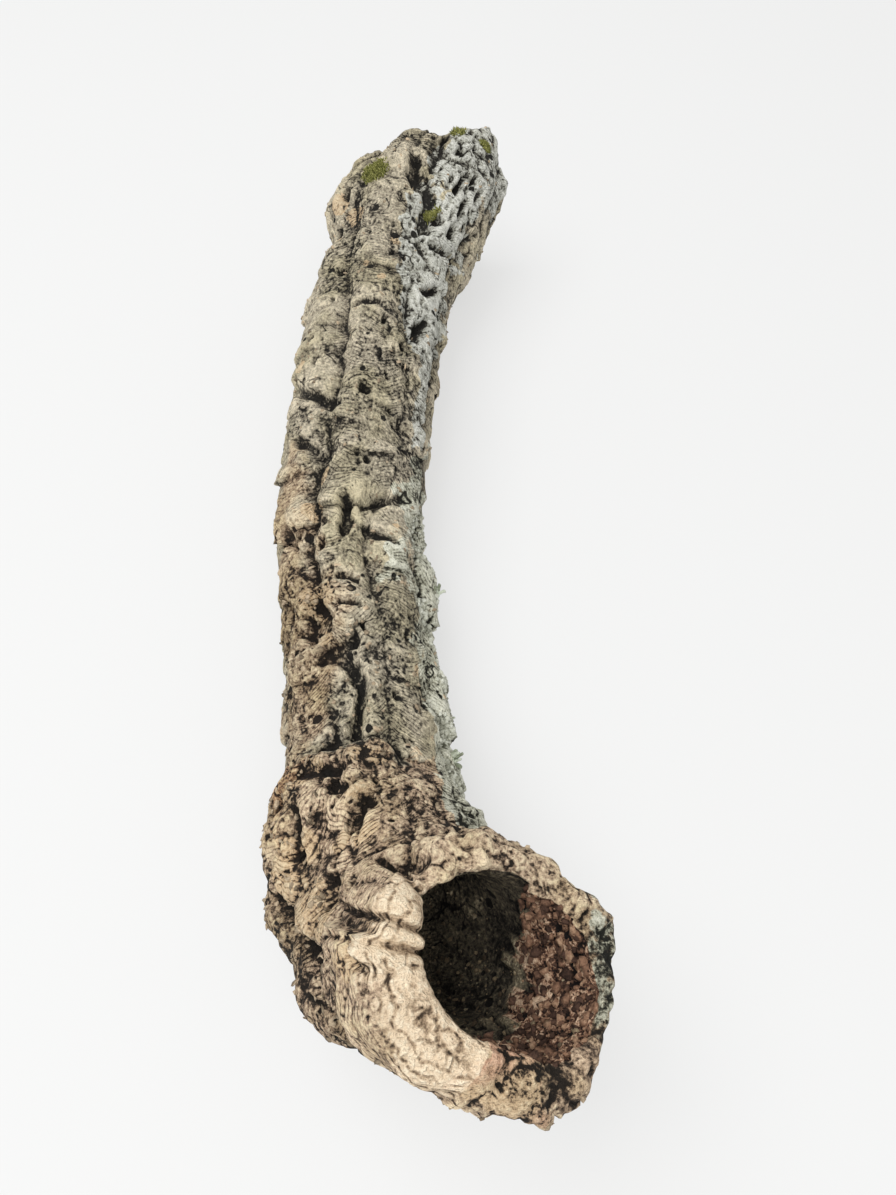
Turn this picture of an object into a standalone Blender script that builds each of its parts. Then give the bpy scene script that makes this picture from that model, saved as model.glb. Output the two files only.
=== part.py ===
"""A naturally curved, hollow tube of cork oak bark, lying on a surface.

The bark is one solid. Its skin is a closed grid: rows run from the far end to the mouth on the outside, over
the rim, back through the bore, and over the far edge. Each row goes once round the axis. A point of the skin
is centre(s) + radius(s, phi) * (cos(phi) * side(s) + sin(phi) * top(s)), where s is the way along the axis in
metres, phi is 0 on the tube's left and 90 degrees on its top, and the radius carries the bark's relief.
"""

import bmesh
import bpy
import numpy as np

# The axis, far end first: x, y, z, outer radius and bore radius, in metres
STATIONS = np.array([
    (-0.0065, 0.232, 0.0410, 0.0375, 0.026),
    (-0.0185, 0.197, 0.0395, 0.0385, 0.026),
    (-0.0310, 0.150, 0.0365, 0.0335, 0.023),
    (-0.0380, 0.096, 0.0350, 0.0343, 0.022),
    (-0.0405, 0.049, 0.0340, 0.0333, 0.021),
    (-0.0405, 0.006, 0.0325, 0.0317, 0.020),
    (-0.0365, -0.032, 0.0315, 0.0306, 0.019),
    (-0.0320, -0.064, 0.0315, 0.0303, 0.019),
    (-0.0270, -0.096, 0.0320, 0.0310, 0.020),
    (-0.0250, -0.121, 0.0350, 0.0343, 0.021),
    (-0.0135, -0.144, 0.0415, 0.0338, 0.022),
    (0.0005, -0.1605, 0.0565, 0.0335, 0.0235),
    (0.0135, -0.1695, 0.0835, 0.0330, 0.0250),
])
AXIS_EASE = 0.012       # the axis is eased over this length
AXIS_SAMPLES = 601
AXIS_OVERRUN = 0.04     # the axis runs on straight past both ends by this much

# The mouth is cut by a plane with this normal, and the far end by its own heading
MOUTH_NORMAL = np.array([0.25, 0.0, 0.97])
RIM_THICK = 0.004       # how far the rounded rim stands past the cut
WALL_LEAST = 0.0035     # the wall is nowhere thinner than this

# Angles of the seven long furrows between the bark's strands, in degrees, at even places along the axis
FURROW_AT = np.arange(10) * 0.05
FURROWS = np.array([
    (8, 8, 5, 5, 12, 15, 20, 36, 14, -10),
    (60, 62, 68, 77, 77, 65, 67, 66, 62, 60),
    (100, 117, 129, 132, 136, 109, 113, 112, 105, 105),
    (160, 165, 168, 170, 172, 160, 156, 160, 165, 165),
    (205, 208, 205, 200, 205, 210, 205, 205, 210, 210),
    (268, 270, 262, 255, 248, 250, 262, 276, 270, 262),
    (305, 300, 310, 305, 300, 308, 310, 305, 300, 300),
])
FURROW_WANDER = np.radians(4)
WANDER_CELL = 0.022
STRAND_HEIGHT = 0.0062
STRAND_CREST = 0.76     # share of the strand's height that lies under the section's own circle
STRAND_ROUND = 2.4      # the higher this power, the flatter the strand's back and the steeper its sides
STRAND_WIDTH = 0.026    # a strand this wide has the full height, and a narrower one less
STRAND_UNEVEN = 0.15

# Each strand is laid over by plates: their length along it, and where one of their lips lies
PLATES = np.array([
    (0.031, 0.172),
    (0.0445, 0.2325),
    (0.036, 0.191),
    (0.040, 0.150),
    (0.034, 0.120),
    (0.042, 0.200),
    (0.033, 0.180),
])
PLATE_HEIGHT = 0.0034
PLATE_RISE = 1.3        # the higher this power, the later a plate rises to its lip
PLATE_BULGE = 0.007     # the middle of a lip lies this much nearer the mouth than its ends
PLATE_UNEVEN = 0.25     # share of its length by which a plate may be longer or shorter
PLATE_CELL = 0.045

# Cracks, holes and short furrows: from s, phi to s, phi, half width and depth
GASHES = [
    (0.160, 17, 0.184, 80, 0.0032, 0.0040),
    (0.197, 47, 0.210, 76, 0.0030, 0.0035),
    (0.235, 34, 0.235, 40, 0.0050, 0.0060),
    (0.225, 88, 0.242, 93, 0.0036, 0.0060),
    (0.232, 108, 0.225, 140, 0.0032, 0.0035),
    (0.278, 60, 0.286, 74, 0.0040, 0.0060),
    (0.296, 68, 0.297, 90, 0.0032, 0.0045),
    (0.298, 92, 0.336, 91, 0.0034, 0.0065),
    (0.048, 116, 0.064, 121, 0.0040, 0.0065),
    (0.030, 100, 0.044, 105, 0.0045, 0.0070),
    (0.166, 98, 0.167, 100, 0.0030, 0.0040),
    (0.350, 36, 0.402, 12, 0.0034, 0.0100),
    (0.362, 104, 0.363, 110, 0.0035, 0.0050),
    (0.400, 78, 0.432, 78, 0.0030, 0.0040),
    (0.405, 54, 0.440, 55, 0.0028, 0.0045),
    (0.412, 31, 0.444, 34, 0.0028, 0.0045),
]

# Lumps and hollows wider than a furrow: s, phi, half length, half width and height
LUMPS = [
    (0.030, 78, 0.018, 0.013, 0.0040),
    (0.047, 55, 0.016, 0.012, 0.0045),
    (0.008, 122, 0.020, 0.016, 0.0035),
    (0.012, 152, 0.020, 0.012, 0.0040),
    (0.316, 78, 0.020, 0.010, -0.0030),
    (0.316, 99, 0.018, 0.005, 0.0030),
    (0.374, 2, 0.012, 0.014, -0.0015),
    (0.399, 3, 0.014, 0.010, 0.0065),
    (0.430, 332, 0.030, 0.016, -0.0030),
    (0.445, 142, 0.015, 0.012, -0.0030),
    (0.448, 242, 0.018, 0.014, -0.0060),
    (0.450, 318, 0.014, 0.010, -0.0030),
    (0.438, 176, 0.014, 0.010, -0.0020),
    (0.256, 176, 0.012, 0.010, 0.0030),
    (0.352, 24, 0.018, 0.020, 0.0035),
    (0.045, 36, 0.020, 0.014, 0.0025),
    (0.412, 66, 0.020, 0.008, 0.0042),
    (0.426, 44, 0.016, 0.007, 0.0040),
    (0.434, 14, 0.012, 0.016, 0.0036),
]

# The collar, where thick knobbly bark of the bend covers the tube's end: the edge's s at even angles from 0
COLLAR_EDGE = np.array([0.352, 0.338, 0.336, 0.352, 0.366, 0.362, 0.350, 0.346])
COLLAR_HEIGHT = 0.0036
COLLAR_SUNK = 0.4       # share of the collar's height that the tube above it lies lower
COLLAR_STEP = 0.005
COLLAR_RAGGED = 0.002
STRANDS_KEPT = 0.55     # share of the strands' height, and of the plates', that shows on the collar
PLATES_KEPT = 0.6
KNOBS = [(0.0020, 0.022, 10), (0.0024, 0.013, 11)]     # height, size and seed

# The finer unevenness of the whole outside, and of the bore: height, size and seed
UNEVEN = [(0.0012, 0.020, 21), (0.0007, 0.010, 22)]
BORE_UNEVEN = (0.0014, 0.016, 31)

# The far edge and the mouth's edge, set back or forward by this much at even angles from 0
FAR_EDGE = np.array([0.012, 0.023, 0.011, -0.015, -0.003, 0.005, 0.004, 0.006])
MOUTH_EDGE = np.array([0.003, 0.005, -0.005, -0.002, 0.000, 0.001, 0.001, 0.002])
EDGE_RAGGED = 0.0025
EDGE_CELL = 0.4         # size of that raggedness, as a share of the tube's radius

# At the mouth the wall is thicker by this much at even angles from 0, and the lip curls inwards by this much
MOUTH_THICKER = np.array([0.001, 0.001, -0.002, 0.000, 0.000, 0.001, 0.003, 0.003])
MOUTH_DEEP = 0.025      # the thicker wall fades out over this depth
LIP_CURL = np.array([0.003, 0.004, 0.001, 0.000, 0.000, 0.000, 0.001, 0.002])

# The three knobs that the bark rests on: s, phi and height, their half width, and the flat spot's radius
FEET = np.array([(0.045, 249, 0.0085), (0.235, 290, 0.0060), (0.362, 250, 0.0050)])
FOOT_WIDE = 0.012
FOOT_FLAT = 0.007
FOOT_BLEND = 0.006
CLEARANCE = 0.0010      # the least height of the rest of the underside

# The grid
AROUND = 64
OUTER_ROWS = 68
BORE_ROWS = 16
RIM_ROWS = 3

BARK_COLOR = (0.235, 0.190, 0.145, 1.0)


def lattice(i, j, k, seed):
    """A fixed pseudo-random number from -1 to 1 for each whole-number lattice point."""
    n = (i * 73856093) ^ (j * 19349663) ^ (k * 83492791) ^ (seed * 26544357)
    n = ((n ^ (n >> 13)) & 0xFFFFFFFF) * 1274126177
    n = ((n ^ (n >> 16)) & 0xFFFFFFFF) * 1103515245
    return ((n >> 15) & 0xFFFF) / 32767.5 - 1


def noise(p, cell, seed):
    """Smooth noise from -1 to 1 at points p: lattice numbers blended by 3 t^2 - 2 t^3 along each axis."""
    q = p / cell
    base = np.floor(q).astype(np.int64)
    t = q - base
    t = t * t * (3 - 2 * t)
    total = np.zeros(p.shape[:-1])
    for a in (0, 1):
        for b in (0, 1):
            for c in (0, 1):
                weight = np.abs(1 - a - t[..., 0]) * np.abs(1 - b - t[..., 1]) * np.abs(1 - c - t[..., 2])
                total += weight * lattice(base[..., 0] + a, base[..., 1] + b, base[..., 2] + c, seed)
    return total


def step(edge, width, x):
    """Rises smoothly from 0 to 1 as x goes from edge - width / 2 to edge + width / 2."""
    t = np.clip((x - edge) / width + 0.5, 0, 1)
    return t * t * (3 - 2 * t)


def ring_values(values, phi):
    """Smooth values round the tube, given at even angles from 0: neighbours are blended by 3 t^2 - 2 t^3."""
    turn = (phi / (2 * np.pi) % 1) * len(values)
    i = np.floor(turn).astype(int) % len(values)
    t = turn - np.floor(turn)
    t = t * t * (3 - 2 * t)
    return values[i] * (1 - t) + values[(i + 1) % len(values)] * t


def eased_axis():
    """Even samples of the axis: s, and for each sample place, radii, heading, side and top.

    A spline goes through the stations, is eased by a bell-shaped average, and runs straight on at both ends.
    The side direction is carried along without twist, and starts level on the left.
    """
    places = STATIONS[:, :3]
    chord = np.r_[0, np.cumsum(np.linalg.norm(np.diff(places, axis=0), axis=1))]
    slopes = np.gradient(STATIONS, chord, axis=0)
    u = np.linspace(-AXIS_OVERRUN, chord[-1] + AXIS_OVERRUN, AXIS_SAMPLES)
    inside = np.clip(u, 0, chord[-1])
    i = np.clip(np.searchsorted(chord, inside, "right") - 1, 0, len(chord) - 2)
    gap = (chord[i + 1] - chord[i])[:, None]
    k = (inside - chord[i])[:, None] / gap
    first = (2 * k**3 - 3 * k**2 + 1) * STATIONS[i] + (k**3 - 2 * k**2 + k) * gap * slopes[i]
    second = (3 * k**2 - 2 * k**3) * STATIONS[i + 1] + (k**3 - k**2) * gap * slopes[i + 1]
    line = first + second
    beyond = (u - inside)[:, None]
    straight = np.where(u[:, None] < 0, slopes[0], slopes[-1]) * beyond
    line[:, :3] += straight[:, :3]
    reach = int(2 * AXIS_EASE / (u[1] - u[0]))
    bell = np.exp(-0.5 * (np.arange(-reach, reach + 1) * (u[1] - u[0]) / AXIS_EASE) ** 2)
    padded = np.pad(line, ((reach, reach), (0, 0)), mode="reflect", reflect_type="odd")
    line = np.stack([np.convolve(column, bell / bell.sum(), "valid") for column in padded.T], 1)
    run = np.r_[0, np.cumsum(np.linalg.norm(np.diff(line[:, :3], axis=0), axis=1))]
    run -= np.interp(0, u, run)
    s = np.linspace(run[0], run[-1], AXIS_SAMPLES)
    line = np.stack([np.interp(s, run, column) for column in line.T], 1)
    heading = np.gradient(line[:, :3], s, axis=0)
    heading /= np.linalg.norm(heading, axis=1)[:, None]
    side = np.cross(heading, (0.0, 0.0, 1.0))
    for n in range(1, AXIS_SAMPLES):
        carried = side[n - 1] - side[n - 1].dot(heading[n]) * heading[n]
        side[n] = carried / np.linalg.norm(carried)
    side[0] /= np.linalg.norm(side[0])
    top = np.cross(side, heading)
    length = np.interp(chord[-1], u, run)
    return s, np.hstack([line, heading, side, top]), length


AXIS_S, AXIS_TABLE, LENGTH = eased_axis()


def along(s):
    """Place, radii, heading, side and top at every s, read between the axis samples."""
    table = np.stack([np.interp(s, AXIS_S, column) for column in AXIS_TABLE.T], -1)
    parts = np.split(table, (3, 4, 5, 8, 11), axis=-1)
    return parts[0], parts[1][..., 0], parts[2][..., 0], parts[3], parts[4], parts[5]


def round_point(s, phi, radius):
    """The point at a given way along, angle and distance from the axis."""
    place, _, _, _, side, top = along(s)
    out = np.cos(phi)[..., None] * side + np.sin(phi)[..., None] * top
    return place + radius[..., None] * out


def strands(s, phi, skin):
    """The strand that a point lies on, how far across it from 0 to 1, and the strand's width in metres."""
    place = np.stack([s, 0 * s, 0 * s], -1)
    lines = [
        np.interp(s, FURROW_AT, row) + FURROW_WANDER * noise(place, WANDER_CELL, 40 + n)
        for n, row in enumerate(np.radians(FURROWS))
    ]
    lines = np.stack(lines, -1)
    turned = (phi[..., None] - lines) % (2 * np.pi)
    which = turned.argmin(-1)
    start = np.take_along_axis(lines, which[..., None], -1)[..., 0]
    after = np.take_along_axis(np.roll(lines, -1, -1), which[..., None], -1)[..., 0]
    width = (after - start) % (2 * np.pi)
    across = ((phi - start) % (2 * np.pi)) / width
    return which, across, width * skin


def plates(s, which, across):
    """Height of the plates: each rises along its strand towards the mouth and drops off at a bowed lip."""
    length = PLATES[which, 0]
    lip = PLATES[which, 1]
    bow = PLATE_BULGE * (1 - (2 * across - 1) ** 2)
    strand_place = np.stack([s, 8.22 * PLATE_CELL * which, 0 * s], -1)
    turn = (s - lip - bow) / length + PLATE_UNEVEN * noise(strand_place, PLATE_CELL, 71)
    return PLATE_HEIGHT * ((turn % 1) ** PLATE_RISE - 0.5)


def gashes(s, phi, skin):
    """Depth of the cracks, holes and short furrows: a rounded V about each line."""
    depth = np.zeros(np.shape(s))
    for s0, phi0, s1, phi1, half, deep in GASHES:
        across = ((phi - np.radians(phi0) + np.pi) % (2 * np.pi) - np.pi) * skin
        end = np.radians(phi1 - phi0) * skin
        run = s1 - s0
        t = np.clip(((s - s0) * run + across * end) / (run**2 + end**2), 0, 1)
        away = np.hypot(s - s0 - t * run, across - t * end)
        depth = np.maximum(depth, deep * np.exp(-((away / half) ** 2)))
    return depth


def lumps(s, phi, skin):
    """Height of the broad lumps and hollows: a bell about each middle."""
    height = np.zeros(np.shape(s))
    knobs = [(s0, phi0, FOOT_WIDE, FOOT_WIDE, tall) for s0, phi0, tall in FEET]
    for s0, phi0, half_long, half_wide, tall in LUMPS + knobs:
        across = ((phi - np.radians(phi0) + np.pi) % (2 * np.pi) - np.pi) * skin
        height += tall * np.exp(-(((s - s0) / half_long) ** 2) - (across / half_wide) ** 2)
    return height


def relief(s, phi, skin):
    """Height of the bark over the section's own circle, whose radius is skin."""
    point = round_point(s, phi, skin)
    which, across, width = strands(s, phi, skin)
    ridge = 1 - np.abs(2 * across - 1) ** STRAND_ROUND
    tall = STRAND_HEIGHT * np.clip(width / STRAND_WIDTH, 0.5, 1.1)
    tall *= 1 - STRAND_UNEVEN + 2 * STRAND_UNEVEN * noise(point, 0.05, 3)
    bend = step(ring_values(COLLAR_EDGE, phi), COLLAR_STEP, s + COLLAR_RAGGED * noise(point, 0.012, 5))
    shape = tall * (ridge - STRAND_CREST) * (1 - (1 - STRANDS_KEPT) * bend)
    shape += plates(s, which, across) * (1 - (1 - PLATES_KEPT) * bend)
    shape += COLLAR_HEIGHT * (bend - COLLAR_SUNK)
    for height, cell, seed in KNOBS:
        shape += bend * height * noise(point, cell, seed)
    for height, cell, seed in UNEVEN:
        shape += height * noise(point, cell, seed)
    return shape + lumps(s, phi, skin) - gashes(s, phi, skin)


def edges(phi):
    """Where the skin starts and ends along the axis: ragged, and at the mouth level with its plane."""
    _, skin, _, heading, side, top = along(np.full(phi.shape, LENGTH))
    out = np.cos(phi)[..., None] * side + np.sin(phi)[..., None] * top
    cut = -skin * (out @ MOUTH_NORMAL) / (heading @ MOUTH_NORMAL)
    ring = np.stack([np.cos(phi), np.sin(phi), 0 * phi], -1)
    start = ring_values(FAR_EDGE, phi) + EDGE_RAGGED * noise(ring, EDGE_CELL, 81)
    end = LENGTH + cut + ring_values(MOUTH_EDGE, phi) + EDGE_RAGGED * noise(ring, EDGE_CELL, 82)
    return start, end


def outer_radius(s, phi):
    """Distance of the outside from the axis: circle and relief, no thinner a wall than the least."""
    _, skin, bore, _, _, _ = along(s)
    return np.maximum(skin + relief(s, phi, skin), bore + WALL_LEAST)


def bore_radius(s, phi):
    """Distance of the crumbly inside from the axis."""
    _, _, bore, _, _, _ = along(s)
    point = round_point(s, phi, bore)
    thicker = ring_values(MOUTH_THICKER, phi) * step(LENGTH - MOUTH_DEEP / 2, MOUTH_DEEP, s)
    height, cell, seed = BORE_UNEVEN
    return bore - thicker + height * noise(point, cell, seed)


def settle(p):
    """Lifts what would lie too low, and flattens the three low points at height 0."""
    s, phi = FEET[:, 0], np.radians(FEET[:, 1])
    spots = round_point(s, phi, outer_radius(s, phi))[:, :2]
    near = np.linalg.norm(p[..., None, :2] - spots, axis=-1).min(-1)
    floor = CLEARANCE * step(FOOT_FLAT + FOOT_BLEND / 2, FOOT_BLEND, near)
    return np.concatenate([p[..., :2], np.maximum(p[..., 2], floor)[..., None]], -1)


def centred(p):
    """Moves the bark so that the origin lies under the middle of its box."""
    level = p.reshape(-1, 3)[:, :2]
    middle = (level.min(0) + level.max(0)) / 2
    return p - np.append(middle, 0)


def rows():
    """All rows of the closed grid: far edge to mouth, over the rim and back through the bore."""
    phi = np.linspace(0, 2 * np.pi, AROUND, endpoint=False)
    start, end = edges(phi)
    line = []
    for v in np.linspace(0, 1, OUTER_ROWS):
        s = start + v * (end - start)
        line.append(round_point(s, phi, outer_radius(s, phi)))
    for v in np.linspace(0, np.pi, RIM_ROWS + 2)[1:-1]:
        out = outer_radius(end, phi)
        inn = bore_radius(end, phi)
        radius = (out + inn) / 2 + (out - inn) / 2 * np.cos(v) - ring_values(LIP_CURL, phi) * np.sin(v)
        line.append(round_point(end + RIM_THICK * np.sin(v), phi, radius))
    for v in np.linspace(1, 0, BORE_ROWS):
        s = start + v * (end - start)
        line.append(round_point(s, phi, bore_radius(s, phi)))
    for v in np.linspace(np.pi, 0, RIM_ROWS + 2)[1:-1]:
        out = outer_radius(start, phi)
        inn = bore_radius(start, phi)
        radius = (out + inn) / 2 + (out - inn) / 2 * np.cos(v)
        line.append(round_point(start - RIM_THICK * np.sin(v), phi, radius))
    return centred(settle(np.array(line)))


def bark_mesh(grid):
    """Joins the rows into a closed skin of triangles, each quad cut along its shorter diagonal."""
    count, around = grid.shape[:2]
    i, j = np.meshgrid(np.arange(count), np.arange(around), indexing="ij")
    here, after = i * around, (i + 1) % count * around
    beside = (j + 1) % around
    a, b, c, d = [corner.ravel() for corner in (here + j, after + j, after + beside, here + beside)]
    points = grid.reshape(-1, 3)
    shorter = np.linalg.norm(points[a] - points[c], axis=1) < np.linalg.norm(points[b] - points[d], axis=1)
    first = np.where(shorter[:, None], np.stack([a, b, c], 1), np.stack([a, b, d], 1))
    second = np.where(shorter[:, None], np.stack([a, c, d], 1), np.stack([b, c, d], 1))
    mesh = bpy.data.meshes.new("bark")
    mesh.from_pydata(points.tolist(), [], np.vstack([first, second]).tolist())
    shell = bmesh.new()
    shell.from_mesh(mesh)
    bmesh.ops.recalc_face_normals(shell, faces=shell.faces)
    shell.to_mesh(mesh)
    shell.free()
    mesh.shade_smooth()
    return mesh


def bark_material():
    """Dry, matt cork bark."""
    material = bpy.data.materials.new("bark")
    material.use_nodes = True
    shader = material.node_tree.nodes["Principled BSDF"]
    shader.inputs["Base Color"].default_value = BARK_COLOR
    shader.inputs["Roughness"].default_value = 0.92
    shader.inputs["Metallic"].default_value = 0.0
    return material


for old in list(bpy.data.objects):
    bpy.data.objects.remove(old)
bark = bpy.data.objects.new("bark", bark_mesh(rows()))
bark.data.materials.append(bark_material())
bpy.context.collection.objects.link(bark)
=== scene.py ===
import bpy
import numpy as np
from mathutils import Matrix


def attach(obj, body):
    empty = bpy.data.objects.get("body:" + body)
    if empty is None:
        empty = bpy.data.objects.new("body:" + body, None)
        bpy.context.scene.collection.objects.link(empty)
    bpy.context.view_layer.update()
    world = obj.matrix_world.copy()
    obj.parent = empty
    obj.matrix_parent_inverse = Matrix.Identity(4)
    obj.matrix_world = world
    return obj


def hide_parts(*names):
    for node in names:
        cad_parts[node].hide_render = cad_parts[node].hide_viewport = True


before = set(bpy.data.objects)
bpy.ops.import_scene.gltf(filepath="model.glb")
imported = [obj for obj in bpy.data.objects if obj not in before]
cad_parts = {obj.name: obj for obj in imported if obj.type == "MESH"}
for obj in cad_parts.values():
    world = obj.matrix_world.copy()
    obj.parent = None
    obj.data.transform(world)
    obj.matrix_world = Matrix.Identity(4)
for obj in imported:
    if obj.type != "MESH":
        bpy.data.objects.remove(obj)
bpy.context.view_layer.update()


# The piece of bark: one hollow tube of cork oak bark that has grown bent, with a wide mouth at its turned-up end.
# It is dry and matt, deeply furrowed along its length, and layered in plates whose lips overhang towards the mouth.
# It is one natural piece, lying free on three low points, so it rides on the frame's one body and stands for it.

# The axis, far end first: x, y, z, outer radius and bore radius, in metres, as in the part's source
STATIONS = np.array([
    (-0.0065, 0.232, 0.0410, 0.0375, 0.026),
    (-0.0185, 0.197, 0.0395, 0.0385, 0.026),
    (-0.0310, 0.150, 0.0365, 0.0335, 0.023),
    (-0.0380, 0.096, 0.0350, 0.0343, 0.022),
    (-0.0405, 0.049, 0.0340, 0.0333, 0.021),
    (-0.0405, 0.006, 0.0325, 0.0317, 0.020),
    (-0.0365, -0.032, 0.0315, 0.0306, 0.019),
    (-0.0320, -0.064, 0.0315, 0.0303, 0.019),
    (-0.0270, -0.096, 0.0320, 0.0310, 0.020),
    (-0.0250, -0.121, 0.0350, 0.0343, 0.021),
    (-0.0135, -0.144, 0.0415, 0.0338, 0.022),
    (0.0005, -0.1605, 0.0565, 0.0335, 0.0235),
    (0.0135, -0.1695, 0.0835, 0.0330, 0.0250),
])
AXIS_EASE = 0.012       # width of the bell that eases the axis
AXIS_SAMPLES = 601
AXIS_OVERRUN = 0.04     # the axis runs straight on this far past both ends
ORIGIN = np.array([-0.013767, 0.018954, 0.0])     # the row's origin among the stations
MOUTH_NORMAL = np.array([0.25, 0.0, 0.97])
RIM_THICK = 0.004       # how far the far rim is rounded beyond its edge
WALL_LEAST = 0.0035

# Angles of the long furrows between the strands, in degrees, at even places along the axis
FURROW_AT = np.arange(10) * 0.05
FURROWS = np.array([
    (8, 8, 5, 5, 12, 15, 20, 36, 14, -10),
    (60, 62, 68, 77, 77, 65, 67, 66, 62, 60),
    (100, 117, 129, 132, 136, 109, 113, 112, 105, 105),
    (160, 165, 168, 170, 172, 160, 156, 160, 165, 165),
    (205, 208, 205, 200, 205, 210, 205, 205, 210, 210),
    (268, 270, 262, 255, 248, 250, 262, 276, 270, 262),
    (305, 300, 310, 305, 300, 308, 310, 305, 300, 300),
])
# How deep each furrow is at those places, as a share of the strands' height
FURROW_DEEP = np.array([
    (1.0, 1.0, 0.9, 0.8, 0.8, 0.8, 0.7, 0.6, 0.8, 0.8),
    (0.6, 0.4, 0.5, 0.8, 1.1, 0.8, 0.4, 0.4, 0.6, 0.6),
    (1.1, 1.0, 0.6, 0.55, 0.8, 1.1, 0.5, 0.3, 0.4, 0.5),
    (0.9, 0.8, 0.7, 0.7, 0.6, 0.6, 0.5, 0.5, 0.6, 0.6),
    (1.0, 0.9, 0.8, 0.9, 1.0, 0.9, 0.8, 0.9, 0.8, 0.8),
    (1.0, 0.8, 0.9, 1.0, 0.8, 0.9, 1.0, 0.9, 0.8, 0.8),
    (0.9, 1.0, 0.8, 0.9, 1.0, 0.8, 0.9, 1.0, 0.8, 0.8),
])
FURROW_WANDER = np.radians(4)       # a furrow strays this far to either side, in long waves
WANDER_CELL = 0.022
FURROW_KINK = np.radians(4.5)       # and this far in short ones
KINK_CELL = 0.0085
FURROW_UNEVEN = [(0.9, 0.017, 86)]  # layers of noise are given by height, size and seed
STRAND_HEIGHT = 0.0062
STRAND_CREST = 0.76     # share of the strand's height that lies under the section's own circle
STRAND_ROUND = 2.4      # the higher this power, the flatter the strand's back and the steeper its sides
STRAND_WIDTH = 0.026    # a strand this wide has the full height, and a narrower one less
STRAND_UNEVEN = 0.15
STRAND_CELL = 0.05

# The plates of each strand: their length, and where one of their lips lies
PLATES = np.array([
    (0.031, 0.172),
    (0.0445, 0.2325),
    (0.036, 0.191),
    (0.040, 0.150),
    (0.034, 0.120),
    (0.042, 0.200),
    (0.033, 0.180),
])
PLATE_HEIGHT = 0.0034
PLATE_RISE = 1.3        # the higher this power, the later a plate rises to its lip
PLATE_BULGE = 0.007     # the middle of a lip lies this much nearer the mouth than its ends
PLATE_UNEVEN = 0.25     # share of its length by which a plate may be longer or shorter
PLATE_CELL = 0.045
LIP_RAGGED = [(0.0035, 0.013, 70), (0.0018, 0.0055, 72)]
LIP_STRENGTH = [(1.0, 0.016, 79), (0.5, 0.006, 80)]
LIP_DROP = 0.050        # share of a plate's length over which its lip drops off
LIP_OVER = 0.0026       # how far a lip overhangs the plate below it
LAYER = 0.0125          # length of the thinner layers that make up a plate
LAYER_HEIGHT = 0.0011
LAYER_RISE = 1.6
LAYER_OVER = 0.0010
LAYER_WANDER = [(0.0045, 0.012, 75)]
LAYER_UNEVEN = [(0.35, 0.016, 76)]
LAYER_STRENGTH = [(1.1, 0.013, 77)]
LINE_PITCH = 0.0017     # pitch of the fine growth lines
LINE_WANDER = [(0.0030, 0.012, 78)]

# Cracks, holes and short furrows: from s, phi to s, phi, half width and depth
GASHES = [
    (0.160, 17, 0.184, 80, 0.0030, 0.0042),
    (0.197, 47, 0.210, 76, 0.0028, 0.0040),
    (0.237, 36, 0.241, 43, 0.0042, 0.0070),
    (0.231, 94, 0.244, 92, 0.0022, 0.0080),
    (0.232, 108, 0.225, 140, 0.0026, 0.0035),
    (0.244, 112, 0.248, 128, 0.0026, 0.0055),
    (0.279, 67, 0.2865, 58, 0.0042, 0.0120),
    (0.2965, 62, 0.2925, 90, 0.0024, 0.0075),
    (0.297, 76, 0.304, 88, 0.0022, 0.0050),
    (0.304, 88, 0.310, 93, 0.0024, 0.0060),
    (0.310, 93, 0.331, 86, 0.0024, 0.0060),
    (0.271, 30, 0.274, 38, 0.0036, 0.0045),
    (0.278, 172, 0.282, 178, 0.0030, 0.0060),
    (0.309, 142, 0.316, 147, 0.0022, 0.0045),
    (0.322, 160, 0.327, 164, 0.0030, 0.0055),
    (0.265, 84, 0.268, 98, 0.0014, 0.0028),
    (0.277, 84, 0.279, 97, 0.0014, 0.0028),
    (0.048, 116, 0.064, 121, 0.0034, 0.0065),
    (0.030, 92, 0.044, 100, 0.0036, 0.0070),
    (0.0735, 133, 0.0690, 155, 0.0022, 0.0060),
    (0.094, 151, 0.103, 140, 0.0024, 0.0055),
    (0.122, 144, 0.134, 139, 0.0026, 0.0060),
    (0.127, 82, 0.125, 99, 0.0018, 0.0032),
    (0.345, 56, 0.3475, 76, 0.0034, 0.0050),
    (0.354, 75, 0.356, 79, 0.0028, 0.0050),
    (0.364, 90, 0.3725, 80, 0.0026, 0.0055),
    (0.358, 53, 0.367, 43, 0.0020, 0.0040),
    (0.386, 57, 0.394, 51, 0.0030, 0.0050),
    (0.409, 41, 0.413, 37, 0.0024, 0.0040),
    (0.350, 34, 0.370, 17, 0.0026, 0.0080),
    (0.370, 17, 0.386, 24, 0.0030, 0.0100),
    (0.386, 24, 0.399, 22, 0.0030, 0.0100),
    (0.399, 22, 0.413, 5, 0.0028, 0.0080),
    (0.414, 87, 0.432, 89, 0.0040, 0.0060),
    (0.402, 80, 0.447, 81, 0.0014, 0.0040),
    (0.410, 55, 0.449, 56.5, 0.0009, 0.0024),
    (0.412, 44, 0.450, 46, 0.0010, 0.0026),
    (0.436, 43, 0.4430, 36, 0.0016, 0.0045),
    (0.443, 36, 0.4450, 30, 0.0012, 0.0035),
]
GASH_RAGGED = [(0.40, 0.0045, 87), (0.25, 0.0022, 88)]

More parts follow.
